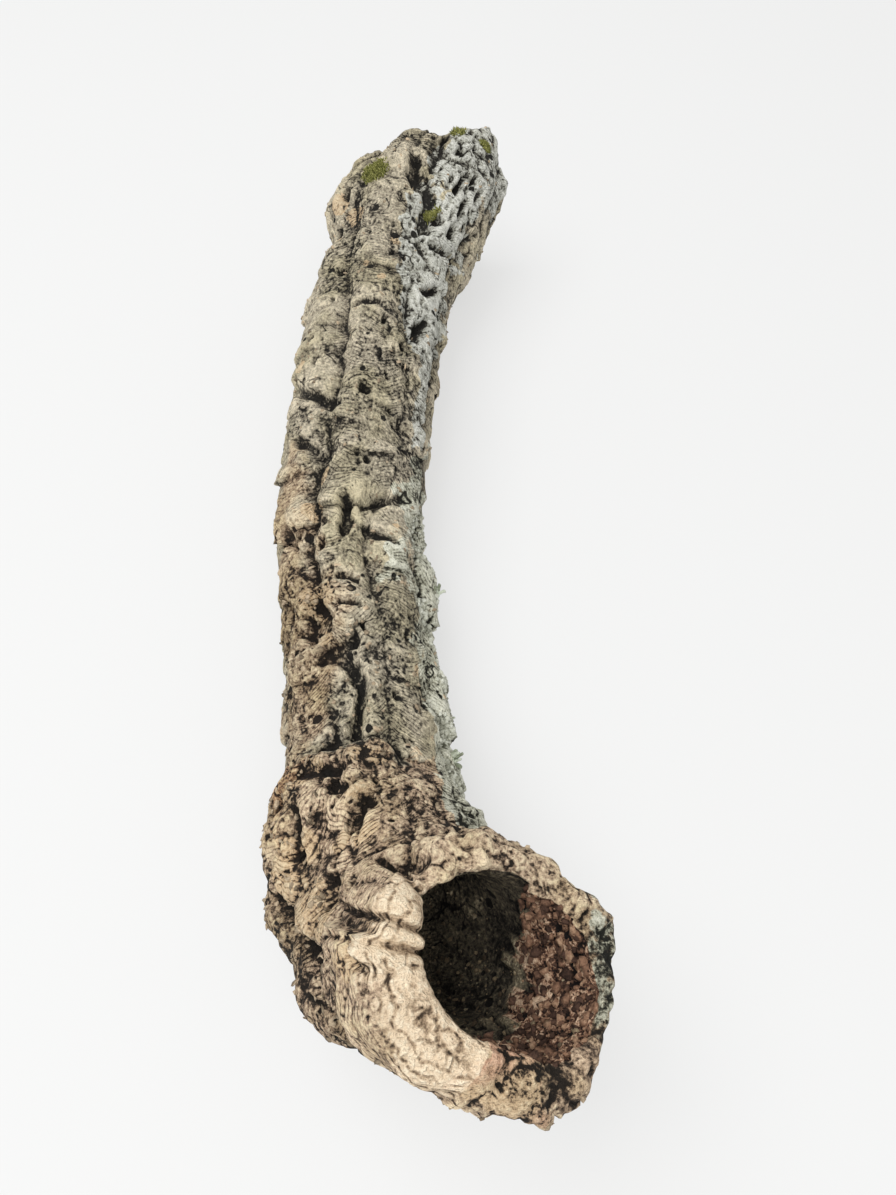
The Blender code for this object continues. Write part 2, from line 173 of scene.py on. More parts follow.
# Single holes: s, phi, half width, half length and depth
DEEP_HOLES = [
    (0.0142, 119, 0.0022, 0.0025, 0.0065),
    (0.0099, 103, 0.0014, 0.0020, 0.0045),
    (0.0072, 126, 0.0012, 0.0018, 0.0045),
    (0.0325, 130, 0.0017, 0.0060, 0.0075),
    (0.0435, 140, 0.0015, 0.0068, 0.0075),
    (0.0455, 113, 0.0030, 0.0042, 0.0070),
    (0.0571, 128, 0.0028, 0.0035, 0.0070),
    (0.0574, 142, 0.0026, 0.0045, 0.0070),
    (0.0332, 122, 0.0012, 0.0020, 0.0045),
    (0.0312, 136, 0.0012, 0.0025, 0.0045),
    (0.0279, 146, 0.0014, 0.0030, 0.0045),
    (0.0237, 137, 0.0012, 0.0024, 0.0045),
    (0.0538, 173, 0.0015, 0.0045, 0.0050),
    (0.0729, 39, 0.0028, 0.0060, 0.0060),
    (0.0997, 58, 0.0022, 0.0024, 0.0055),
    (0.0541, 49, 0.0030, 0.0036, 0.0055),
    (0.1456, 126, 0.0022, 0.0036, 0.0055),
    (0.1758, 101, 0.0027, 0.0029, 0.0065),
    (0.2485, 71, 0.0020, 0.0034, 0.0055),
    (0.2875, 98, 0.0012, 0.0013, 0.0045),
    (0.3705, 16, 0.0030, 0.0040, 0.0050),
]

# Lumps and hollows: s, phi, half length, half width and height
LUMPS = [
    (0.030, 78, 0.018, 0.013, 0.0040),
    (0.047, 55, 0.016, 0.012, 0.0045),
    (0.008, 122, 0.020, 0.016, 0.0035),
    (0.012, 152, 0.020, 0.012, 0.0040),
    (0.316, 78, 0.020, 0.010, -0.0030),
    (0.316, 99, 0.018, 0.005, 0.0030),
    (0.374, 2, 0.012, 0.014, -0.0015),
    (0.399, 3, 0.014, 0.010, 0.0065),
    (0.430, 332, 0.030, 0.016, -0.0030),
    (0.445, 142, 0.015, 0.012, -0.0030),
    (0.448, 242, 0.018, 0.014, -0.0060),
    (0.450, 318, 0.014, 0.010, -0.0030),
    (0.438, 176, 0.014, 0.010, -0.0020),
    (0.256, 176, 0.012, 0.010, 0.0030),
    (0.352, 24, 0.018, 0.020, 0.0035),
    (0.045, 36, 0.020, 0.014, 0.0022),
    (0.055, 33, 0.009, 0.012, 0.0030),
    (0.073, 36, 0.006, 0.014, -0.0028),
    (0.091, 38, 0.010, 0.010, 0.0022),
    (0.060, 88, 0.010, 0.010, 0.0018),
    (0.412, 66, 0.020, 0.009, 0.0024),
    (0.426, 44, 0.016, 0.007, 0.0040),
    (0.434, 14, 0.012, 0.016, 0.0036),
    (0.447, 41, 0.008, 0.005, 0.0034),
    (0.3436, 89, 0.0040, 0.0032, 0.0020),
    (0.3613, 86, 0.0034, 0.0030, 0.0022),
    (0.3457, 57, 0.0050, 0.0040, 0.0018),
    (0.272, 64, 0.0080, 0.0080, 0.0014),
]

# The knobbly collar at the bend: its edge's s at even angles, its height, and the layers of its knobs
COLLAR_EDGE = np.array([0.352, 0.338, 0.336, 0.352, 0.366, 0.362, 0.350, 0.346])
COLLAR_HEIGHT = 0.0036
COLLAR_SUNK = 0.4       # share of the collar's height that the tube above it lies lower
COLLAR_STEP = 0.005
COLLAR_RAGGED = [(0.002, 0.012, 5)]
STRANDS_KEPT = 0.55     # share of the strands' height, of the plates' and of the lips' reach that shows on the collar
PLATES_KEPT = 0.6
REACH_KEPT = 0.5
KNOBS = [(0.0020, 0.022, 10), (0.0024, 0.013, 11)]
SWIRL = 0.009           # the growth lines wander this far about the collar's knobs, over this size
SWIRL_CELL = 0.018

# The unevenness of the whole outside, and of the bore
UNEVEN = [(0.0012, 0.020, 21), (0.0007, 0.010, 22), (0.00035, 0.0023, 59)]
BORE_UNEVEN = [(0.0014, 0.016, 31)]

# How far the skin starts past the axis's far end and ends past its near end, at even angles, and how ragged
FAR_EDGE = np.array([0.012, 0.023, 0.011, -0.015, -0.003, 0.005, 0.004, 0.006])
MOUTH_EDGE = np.array([0.003, 0.005, -0.005, -0.002, 0.000, 0.001, 0.001, 0.002])
FAR_RAGGED = [(0.0025, 0.4, 81), (0.0022, 0.13, 83), (0.0012, 0.05, 84)]     # sizes as shares of the tube's radius
MOUTH_RAGGED = [(0.0025, 0.4, 82), (0.0008, 0.10, 85)]
# The wall at the mouth: how much thicker it is and how far down, how far its lip curls in, and how far it is rounded
MOUTH_THICKER = np.array([0.004, 0.001, -0.004, -0.001, -0.003, -0.0035, 0.000, 0.005])
MOUTH_DEEP = 0.025
LIP_CURL = np.array([0.005, 0.0045, 0.001, 0.000, 0.000, 0.000, 0.001, 0.004])
RIM_FORWARD = np.array([0.0055, 0.0050, 0.0032, 0.0030, 0.0028, 0.0030, 0.0035, 0.0045])

# The three knobs that the bark rests on: s, phi and height, their half width, flat spot and its border
FEET = np.array([(0.045, 249, 0.0085), (0.235, 290, 0.0060), (0.362, 250, 0.0050)])
FOOT_WIDE = 0.012
FOOT_FLAT = 0.007
FOOT_BLEND = 0.006
CLEARANCE = 0.0010      # nothing else lies lower than this

# What the finer surface adds. Puffs are soft humps between creases, and layers of them are given as those of noise.
PUFFS = [(0.0012, 0.0080, 51), (0.0009, 0.0042, 52)]
CREASE = 0.30, 0.16             # how far under 0 a puff counts as a crease, and over what range
KNOBBLY_PUFFS = [(0.0030, 0.0105, 53), (0.0018, 0.0052, 54)]
KNOBBLY_CREASE = 0.28, 0.16
KNOBBLY_END = -0.060, 0.05      # the far end is knobbly too: where that stops, as minus s, and over what length
KNOBBLY_SHARE = 0.7             # beside the collar
BORE_PUFFS = [(0.0020, 0.0070, 55), (0.0013, 0.0034, 56)]
RIM_PUFFS = [(0.0034, 0.0095, 91), (0.0020, 0.0045, 92)]
RIM_GRIT = [(0.0004, 0.0022, 93)]
WARP = [(0.0032, 0.0120), (0.0012, 0.0045)]     # how far a pattern is moved, and over what size
HOLES = 420
HOLE_SEED = 5
HOLE_HALF = 0.0006, 0.0010      # least half width, and how much wider a hole may be
HOLE_DEEP = 0.0010, 0.0026      # least depth, and how much deeper it may be
CRUSTY_HOLES = 0.16, 108, 66    # a third of the holes lie in the crust: up to this s, from this phi, over this angle
CRUMBLY_DEEP = np.array([-0.02, -0.02, -0.02, -0.004, 0.014, 0.026, 0.016, -0.002])     # depth at even angles
CRUMBLY_THICK = 0.0026
CRUMBLY_STEP = 0.0018
CRUMBLY_RAGGED = [(0.0156, 0.012, 68), (0.0130, 0.005, 69)]
CRUST_MIDDLE = (0.0, 0.08, 0.15, 0.19), (138, 140, 150, 150)     # s, and phi of the pale lichen crust's middle there
CRUST_HALF = (0.0, 0.08, 0.13, 0.19), (38, 34, 22, 6)            # s, and half its width there in degrees
CRUST_RAGGED = [(0.55, 0.017, 61), (0.35, 0.006, 62), (0.2, 0.0025, 63)]
CRUST_THICK = 0.0005
CRUST_CELL = 0.002
COARSE_LAYERS = [(0.9, 0.026, 91), (0.5, 0.011, 90)]
PATCH_LAYERS = [(0.5, 0.02, 65), (0.35, 0.008, 66), (0.2, 0.003, 67)]
LINED_LAYERS = [(1.0, 0.016, 95), (0.5, 0.006, 96)]
# The lobes on the mouth's left lip, like overlapping shells: from phi to phi, and their heights at each end
LOBES = [(78, 57, 0.0016, 0.0030), (57, 46, 0.0012, 0.0006), (46, -22, 0.0060, 0.0002)]
LOBES_OVER = 29, 54     # the middle of all of them and half their width, in degrees
LOBE_LONG = 0.034
LOBE_STEP = 0.009       # length over which they rise from the bark
LOBE_SMOOTH = 0.8       # share of the strands that they cover up
LOBE_PLAIN = 0.6        # and share of the knobs
LOBE_PAST = 0.0032      # how far a lobe stands past the rim
CLEFT_WIDE = 0.0013     # half width and depth of the gaps between them
CLEFT_DEEP = 0.0030
RIM_RADIUS = 0.036

# The fine grid
AROUND = 226
CROWDED = 0.3           # the top has this much more of the grid's columns than the sides, and the underside less
OUTER_ROWS = 340
OUTER_CROWDED = 0.3     # the rows lie closer towards the mouth by this share
BORE_CROWDED = 0.8      # and those of the bore closer towards both of its ends
RIM_ROWS = 16
BORE_ROWS = 68
FAR_RIM_ROWS = 8
SUNK_DEPTH = 0.0012     # a place this far under its wider surroundings counts as 1 in the mark "sunk"
PITTED_DEPTH = 0.00035  # and under its nearest ones, in the mark "pitted"


def lattice(i, j, k, seed):
    """A fixed pseudo-random number from -1 to 1 for each whole-number lattice point."""
    n = (i * 73856093) ^ (j * 19349663) ^ (k * 83492791) ^ (seed * 26544357)
    n = ((n ^ (n >> 13)) & 0xFFFFFFFF) * 1274126177
    n = ((n ^ (n >> 16)) & 0xFFFFFFFF) * 1103515245
    return ((n >> 15) & 0xFFFF) / 32767.5 - 1


def noise(p, cell, seed):
    """Smooth noise from -1 to 1 at points p: lattice numbers blended by 3 t^2 - 2 t^3 along each axis."""
    q = p / cell
    base = np.floor(q).astype(np.int64)
    t = q - base
    t = t * t * (3 - 2 * t)
    total = np.zeros(p.shape[:-1])
    for a in (0, 1):
        for b in (0, 1):
            for c in (0, 1):
                weight = np.abs(1 - a - t[..., 0]) * np.abs(1 - b - t[..., 1]) * np.abs(1 - c - t[..., 2])
                total += weight * lattice(base[..., 0] + a, base[..., 1] + b, base[..., 2] + c, seed)
    return total


def layered(p, layers):
    """The sum of several layers of noise at points p, each given by its height, the size of its cells and its seed."""
    return sum(height * noise(p, cell, seed) for height, cell, seed in layers)


def puffs(p, cell, seed):
    """Soft humps between sharp creases, from -0.5 to 0.5: the root of how far the noise is from 0."""
    return np.sqrt(np.abs(noise(p, cell, seed))) - 0.5


def warped(p):
    """The points moved about by smooth noise, so that what is drawn on them wanders."""
    for n, (far, cell) in enumerate(WARP):
        p = p + far * np.stack([noise(p, cell, 100 + 3 * n + k) for k in range(3)], -1)
    return p


def step(edge, width, x):
    """Rises smoothly from 0 to 1 as x goes from edge - width / 2 to edge + width / 2."""
    t = np.clip((x - edge) / width + 0.5, 0, 1)
    return t * t * (3 - 2 * t)


def ring_values(values, phi):
    """Smooth values round the tube, given at even angles from 0: neighbours are blended by 3 t^2 - 2 t^3."""
    turn = (phi / (2 * np.pi) % 1) * len(values)
    i = np.floor(turn).astype(int) % len(values)
    t = turn - np.floor(turn)
    t = t * t * (3 - 2 * t)
    return values[i] * (1 - t) + values[(i + 1) % len(values)] * t


def near(values, middle, half, least=-1):
    """1 at a middle value, 0 at half away from it on either side, and nowhere less than least."""
    return np.clip(1 - np.abs(values - middle) / half, least, 1)


def turned_by(phi, middle):
    """The angle from middle (in degrees) to phi, from -pi to pi."""
    return (phi - np.radians(middle) + np.pi) % (2 * np.pi) - np.pi


def eased_axis():
    """Even samples of the axis: s, and for each sample place, radii, heading, side and top.

    A spline goes through the stations, is eased by a bell-shaped average, and runs straight on at both ends.
    The side direction is carried along without twist, and starts level on the left.
    """
    places = STATIONS[:, :3]
    chord = np.r_[0, np.cumsum(np.linalg.norm(np.diff(places, axis=0), axis=1))]
    slopes = np.gradient(STATIONS, chord, axis=0)
    u = np.linspace(-AXIS_OVERRUN, chord[-1] + AXIS_OVERRUN, AXIS_SAMPLES)
    inside = np.clip(u, 0, chord[-1])
    i = np.clip(np.searchsorted(chord, inside, "right") - 1, 0, len(chord) - 2)
    gap = (chord[i + 1] - chord[i])[:, None]
    k = (inside - chord[i])[:, None] / gap
    first = (2 * k**3 - 3 * k**2 + 1) * STATIONS[i] + (k**3 - 2 * k**2 + k) * gap * slopes[i]
    second = (3 * k**2 - 2 * k**3) * STATIONS[i + 1] + (k**3 - k**2) * gap * slopes[i + 1]
    line = first + second
    beyond = (u - inside)[:, None]
    straight = np.where(u[:, None] < 0, slopes[0], slopes[-1]) * beyond
    line[:, :3] += straight[:, :3]
    reach = int(2 * AXIS_EASE / (u[1] - u[0]))
    bell = np.exp(-0.5 * (np.arange(-reach, reach + 1) * (u[1] - u[0]) / AXIS_EASE) ** 2)
    padded = np.pad(line, ((reach, reach), (0, 0)), mode="reflect", reflect_type="odd")
    line = np.stack([np.convolve(column, bell / bell.sum(), "valid") for column in padded.T], 1)
    run = np.r_[0, np.cumsum(np.linalg.norm(np.diff(line[:, :3], axis=0), axis=1))]
    run -= np.interp(0, u, run)
    s = np.linspace(run[0], run[-1], AXIS_SAMPLES)
    line = np.stack([np.interp(s, run, column) for column in line.T], 1)
    heading = np.gradient(line[:, :3], s, axis=0)
    heading /= np.linalg.norm(heading, axis=1)[:, None]
    side = np.cross(heading, (0.0, 0.0, 1.0))
    for n in range(1, AXIS_SAMPLES):
        carried = side[n - 1] - side[n - 1].dot(heading[n]) * heading[n]
        side[n] = carried / np.linalg.norm(carried)
    side[0] /= np.linalg.norm(side[0])
    top = np.cross(side, heading)
    length = np.interp(chord[-1], u, run)
    return s, np.hstack([line, heading, side, top]), length


AXIS_S, AXIS_TABLE, LENGTH = eased_axis()


def along(s):
    """Place, radii, heading, side and top at every s, read between the axis samples."""
    table = np.stack([np.interp(s, AXIS_S, column) for column in AXIS_TABLE.T], -1)
    parts = np.split(table, (3, 4, 5, 8, 11), axis=-1)
    return parts[0], parts[1][..., 0], parts[2][..., 0], parts[3], parts[4], parts[5]


def round_point(s, phi, radius):
    """The point at a given way along, angle and distance from the axis."""
    place, _, _, _, side, top = along(s)
    out = np.cos(phi)[..., None] * side + np.sin(phi)[..., None] * top
    return place + radius[..., None] * out


def strands(s, phi, skin, point):
    """A point's strand, how far across it from 0 to 1, its width, and how deep the nearer furrow is."""
    place = np.stack([s, 0 * s, 0 * s], -1)
    lines = [
        np.interp(s, FURROW_AT, row) + FURROW_WANDER * noise(place, WANDER_CELL, 40 + n)
        + FURROW_KINK * noise(place, KINK_CELL, 140 + n)
        for n, row in enumerate(np.radians(FURROWS))
    ]
    lines = np.stack(lines, -1)
    turned = (phi[..., None] - lines) % (2 * np.pi)
    which = turned.argmin(-1)
    start = np.take_along_axis(lines, which[..., None], -1)[..., 0]
    after = np.take_along_axis(np.roll(lines, -1, -1), which[..., None], -1)[..., 0]
    width = (after - start) % (2 * np.pi)
    across = ((phi - start) % (2 * np.pi)) / width
    depths = np.stack([np.interp(s, FURROW_AT, row) for row in FURROW_DEEP], -1)
    nearer = (which + (across > 0.5)) % len(FURROWS)
    deep = np.take_along_axis(depths, nearer[..., None], -1)[..., 0]
    return which, across, width * skin, deep * np.clip(0.9 + layered(point, FURROW_UNEVEN), 0.2, 1.4)


def plates(s, which, across, point):
    """Height and forward reach of the plates and of their thin layers, and the growth lines' running number.

    Both rise along the strand towards the mouth, by a power of the way along them, and drop off at a bowed lip.
    Near its top a lip is carried forward too, so it overhangs what lies below it.
    """
    length = PLATES[which, 0]
    bow = PLATE_BULGE * (1 - (2 * across - 1) ** 2)
    strand_place = np.stack([s, 8.22 * PLATE_CELL * which, 0 * s], -1)
    turn = (s - PLATES[which, 1] - bow) / length + PLATE_UNEVEN * noise(strand_place, PLATE_CELL, 71)
    turn += layered(point, LIP_RAGGED) / length
    rise = turn % 1
    drop = step(1 - LIP_DROP, LIP_DROP, rise)
    bold = 0.7 + 0.4 * lattice(which, np.floor(turn).astype(np.int64), 0 * which, 73)
    bold *= np.clip(0.75 + layered(point, LIP_STRENGTH), 0.05, 1.3)
    height = PLATE_HEIGHT * (bold * rise**PLATE_RISE * (1 - drop) - 0.4)
    reach = LIP_OVER * bold * step(0.9, 0.12, rise) * (1 - drop)

    layer = LAYER * (1 + 0.25 * lattice(which, 0 * which, 0 * which, 74))
    turn = (s - bow + layered(point, LAYER_WANDER)) / layer + layered(strand_place, LAYER_UNEVEN)
    rise = turn % 1
    drop = step(0.93, 0.10, rise)
    strong = np.clip(0.55 + layered(point, LAYER_STRENGTH), 0, 1.4)
    height += LAYER_HEIGHT * strong * (rise**LAYER_RISE * (1 - drop) - 0.35)
    reach += LAYER_OVER * strong * step(0.8, 0.2, rise) * (1 - drop)
    growth = (s - 1.2 * bow + layered(point, LINE_WANDER)) / LINE_PITCH
    return height, reach, growth


def gashes(s, phi, skin, point):
    """Depth of the cracks, holes and short furrows: exp(-d^3) about each line, its edge made ragged by noise."""
    ragged = 1 + layered(point, GASH_RAGGED)
    depth = np.zeros(np.shape(s))
    for s0, phi0, s1, phi1, half, deep in GASHES:
        across = turned_by(phi, phi0) * skin
        end = np.radians(phi1 - phi0) * skin
        run = s1 - s0
        t = np.clip(((s - s0) * run + across * end) / (run**2 + end**2), 0, 1)
        away = np.hypot(s - s0 - t * run, across - t * end) * ragged
        depth = np.maximum(depth, deep * np.exp(-((away / half) ** 3)))
    return depth


def lumps(s, phi, skin):
    """Height of the broad lumps and hollows: a bell about each middle."""
    height = np.zeros(np.shape(s))
    knobs = [(s0, phi0, FOOT_WIDE, FOOT_WIDE, tall) for s0, phi0, tall in FEET]
    for s0, phi0, half_long, half_wide, tall in LUMPS + knobs:
        across = turned_by(phi, phi0) * skin
        height += tall * np.exp(-(((s - s0) / half_long) ** 2) - (across / half_wide) ** 2)
    return height


def collar(s, phi, point):
    """How much of the bend's thick bark covers a point, from 0 to 1."""
    return step(ring_values(COLLAR_EDGE, phi), COLLAR_STEP, s + layered(point, COLLAR_RAGGED))


def crust(s, phi, point):
    """Where pale crusty lichen grows, from 0 to 1: the right of the top near the far end, in ragged patches."""
    middle, half = np.interp(s, *CRUST_MIDDLE), np.interp(s, *CRUST_HALF)
    inside = 1 - np.abs(np.degrees(turned_by(phi, 0)) % 360 - middle) / half
    ends = np.clip((0.195 - s) / 0.02, -1, 1)
    return step(0.12, 0.22, np.minimum(inside, ends) + layered(point, CRUST_RAGGED))


def holes(s, phi, skin, point):
    """Depth of the insect holes and pores: a steep-sided pit exp(-d^4) about each, longer along the bark."""
    draw = np.random.default_rng(HOLE_SEED)
    place = draw.random((HOLES, 5))
    place[:, 0] = place[:, 0] * (LENGTH + 0.03) - 0.01
    place[:, 1] = 360 * place[:, 1]
    crusty = np.arange(HOLES) < HOLES // 3
    up_to, start, over = CRUSTY_HOLES
    place[crusty, 0] = up_to * place[crusty, 0] / LENGTH
    place[crusty, 1] = start + over * draw.random(crusty.sum())
    half = HOLE_HALF[0] + HOLE_HALF[1] * place[:, 2] ** 2.5
    long = half * (1.0 + 1.8 * place[:, 3] ** 2)
    deep = HOLE_DEEP[0] + HOLE_DEEP[1] * place[:, 4]
    small = np.stack([place[:, 0], place[:, 1], half, long, deep], -1)
    ragged = 1 + 0.35 * noise(point, 0.0030, 89)
    depth = np.zeros(np.shape(s))
    for s0, phi0, half0, long0, deep0 in np.concatenate([small, DEEP_HOLES]):
        by = np.abs(s - s0) < 3 * long0
        away = np.hypot((s[by] - s0) / long0, turned_by(phi[by], phi0) * skin[by] / half0) * ragged[by]
        depth[by] = np.maximum(depth[by], deep0 * np.exp(-(away**4)))
    return depth


def lobes(s, phi):
    """Height of the lobes on the left lip: each slopes from its first height to its last, and the higher one shows."""
    height = np.zeros(np.shape(s))
    for first, last, tall, low in LOBES:
        wide = np.radians(first - last)
        t = turned_by(phi, first) / -wide
        body = step(-0.03 / wide, 0.05 / wide, t) * (1 - step(1 + 0.03 / wide, 0.05 / wide, t))
        height = np.maximum(height, (tall + (low - tall) * np.clip(t, 0, 1) ** 0.7) * body)
    return height * step(LENGTH - LOBE_LONG, LOBE_STEP, s)


def clefts(phi):
    """How close a place of the rim is to a gap between two lobes: exp(-d^2) about each, from 0 to 1."""
    each = [np.exp(-((turned_by(phi, first) * RIM_RADIUS / CLEFT_WIDE) ** 2)) for first, _, _, _ in LOBES]
    return np.max(each, axis=0)


def lobed(s, phi):
    """Where the smooth lobes cover the left lip, from 0 to 1."""
    middle, half = LOBES_OVER
    return step(LENGTH - LOBE_LONG, LOBE_STEP, s) * step(-half, 6, -np.abs(np.degrees(turned_by(phi, middle))))


def coarse(point):
    """How rough the bark is, from 0.15 to 1.15: it has smooth plates and rough places, a few centimetres across."""
    return np.clip(0.50 + layered(point, COARSE_LAYERS), 0.15, 1.15)


def relief(s, phi, skin):
    """Height over the section's own circle, the lips' forward reach, the growth lines' number, and the creases."""
    point = round_point(s, phi, skin)
    which, across, width, deep = strands(s, phi, skin, point)
    ridge = 1 - deep * np.abs(2 * across - 1) ** STRAND_ROUND
    tall = STRAND_HEIGHT * np.clip(width / STRAND_WIDTH, 0.5, 1.1)
    tall *= 1 - STRAND_UNEVEN + 2 * STRAND_UNEVEN * noise(point, STRAND_CELL, 3)
    bend = collar(s, phi, point)
    shape = tall * (ridge - STRAND_CREST) * (1 - (1 - STRANDS_KEPT) * bend) * (1 - LOBE_SMOOTH * lobed(s, phi))
    lips, reach, growth = plates(s, which, across, point)
    shape += lips * (1 - (1 - PLATES_KEPT) * bend)
    growth += bend * SWIRL / LINE_PITCH * noise(point, SWIRL_CELL, 98)
    shape += COLLAR_HEIGHT * (bend - COLLAR_SUNK)
    shape += bend * layered(point, KNOBS) + layered(point, UNEVEN)
    shape += lumps(s, phi, skin) + lobes(s, phi)
    moved = warped(point)
    knobbly = np.maximum(bend, KNOBBLY_SHARE * step(*KNOBBLY_END, -s)) * (1 - LOBE_PLAIN * lobed(s, phi))
    crease = np.zeros(np.shape(s))
    strength = coarse(point)
    for height, cell, seed in PUFFS:
        hump = puffs(moved, cell, seed)
        shape += height * strength * hump
        crease = np.maximum(crease, strength * step(*CREASE, -hump))
    for height, cell, seed in KNOBBLY_PUFFS:
        hump = puffs(moved, cell, seed)
        shape += knobbly * height * hump
        crease = np.maximum(crease, knobbly * step(*KNOBBLY_CREASE, -hump))
    shape += CRUST_THICK * crust(s, phi, point) * (1 + noise(point, CRUST_CELL, 64))
    shape -= np.maximum(gashes(s, phi, skin, point), holes(s, phi, skin, point))
    return shape, reach * (1 - (1 - REACH_KEPT) * bend), growth, crease


def edges(phi):
    """Where the skin starts and ends along the axis: ragged, and at the mouth level with its plane."""
    _, skin, _, heading, side, top = along(np.full(phi.shape, LENGTH))
    out = np.cos(phi)[..., None] * side + np.sin(phi)[..., None] * top
    cut = -skin * (out @ MOUTH_NORMAL) / (heading @ MOUTH_NORMAL)
    ring = np.stack([np.cos(phi), np.sin(phi), 0 * phi], -1)
    start = ring_values(FAR_EDGE, phi) + layered(ring, FAR_RAGGED)
    end = LENGTH + cut + ring_values(MOUTH_EDGE, phi) + layered(ring, MOUTH_RAGGED)
    for first, last, _, _ in LOBES:
        t = np.clip(turned_by(phi, first) / np.radians(last - first), 0, 1)
        end += LOBE_PAST * np.sqrt(1 - np.abs(2 * t - 1) ** 3) * (1 - 0.6 * t)
    return start, end


def outer(s, phi):
    """Distance of the outside from the axis, the lips' forward reach, the growth lines' number, and the creases."""
    _, skin, bore, _, _, _ = along(s)
    height, reach, growth, crease = relief(s, phi, skin)
    return np.maximum(skin + height, bore + WALL_LEAST), reach, growth, crease


def crumbly(s, phi, point):
    """Where the red-brown crumbly layer still lines the mouth, from 0 to 1: down to a ragged edge in the bore."""
    return step(0, CRUMBLY_STEP, ring_values(CRUMBLY_DEEP, phi) - (LENGTH - s) + layered(point, CRUMBLY_RAGGED))


def bore_radius(s, phi):
    """Distance of the crumbly inside from the axis."""
    _, _, bore, _, _, _ = along(s)
    point = round_point(s, phi, bore)
    thicker = ring_values(MOUTH_THICKER, phi) * step(LENGTH - MOUTH_DEEP / 2, MOUTH_DEEP, s)
    radius = bore - thicker + layered(point, BORE_UNEVEN)
    lining = crumbly(s, phi, point)
    moved = warped(point)
    for height, cell, seed in BORE_PUFFS:
        radius -= height * (0.6 + 0.8 * lining) * puffs(moved, cell, seed)
    return np.minimum(radius - CRUMBLY_THICK * lining, outer(s, phi)[0] - WALL_LEAST)


def settle(p):
    """Lifts what would lie too low, and flattens the three low points at height 0."""
    s, phi = FEET[:, 0], np.radians(FEET[:, 1])
    spots = round_point(s, phi, outer(s, phi)[0])[:, :2]
    away = np.linalg.norm(p[..., None, :2] - spots, axis=-1).min(-1)
    floor = CLEARANCE * step(FOOT_FLAT + FOOT_BLEND / 2, FOOT_BLEND, away)
    return np.concatenate([p[..., :2], np.maximum(p[..., 2], floor)[..., None]], -1)


def hollows(height, rows, columns):
    """How far each point lies under the mean of its neighbourhood of the grid, in metres."""
    wide = np.pad(height, ((rows, rows), (0, 0)), mode="edge")
    wide = np.pad(wide, ((0, 0), (columns, columns)), mode="wrap")
    total = np.pad(wide.cumsum(0).cumsum(1), ((1, 0), (1, 0)))
    r, c = 2 * rows + 1, 2 * columns + 1
    mean = (total[r:, c:] - total[:-r, c:] - total[r:, :-c] + total[:-r, :-c]) / (r * c)
    return mean - height


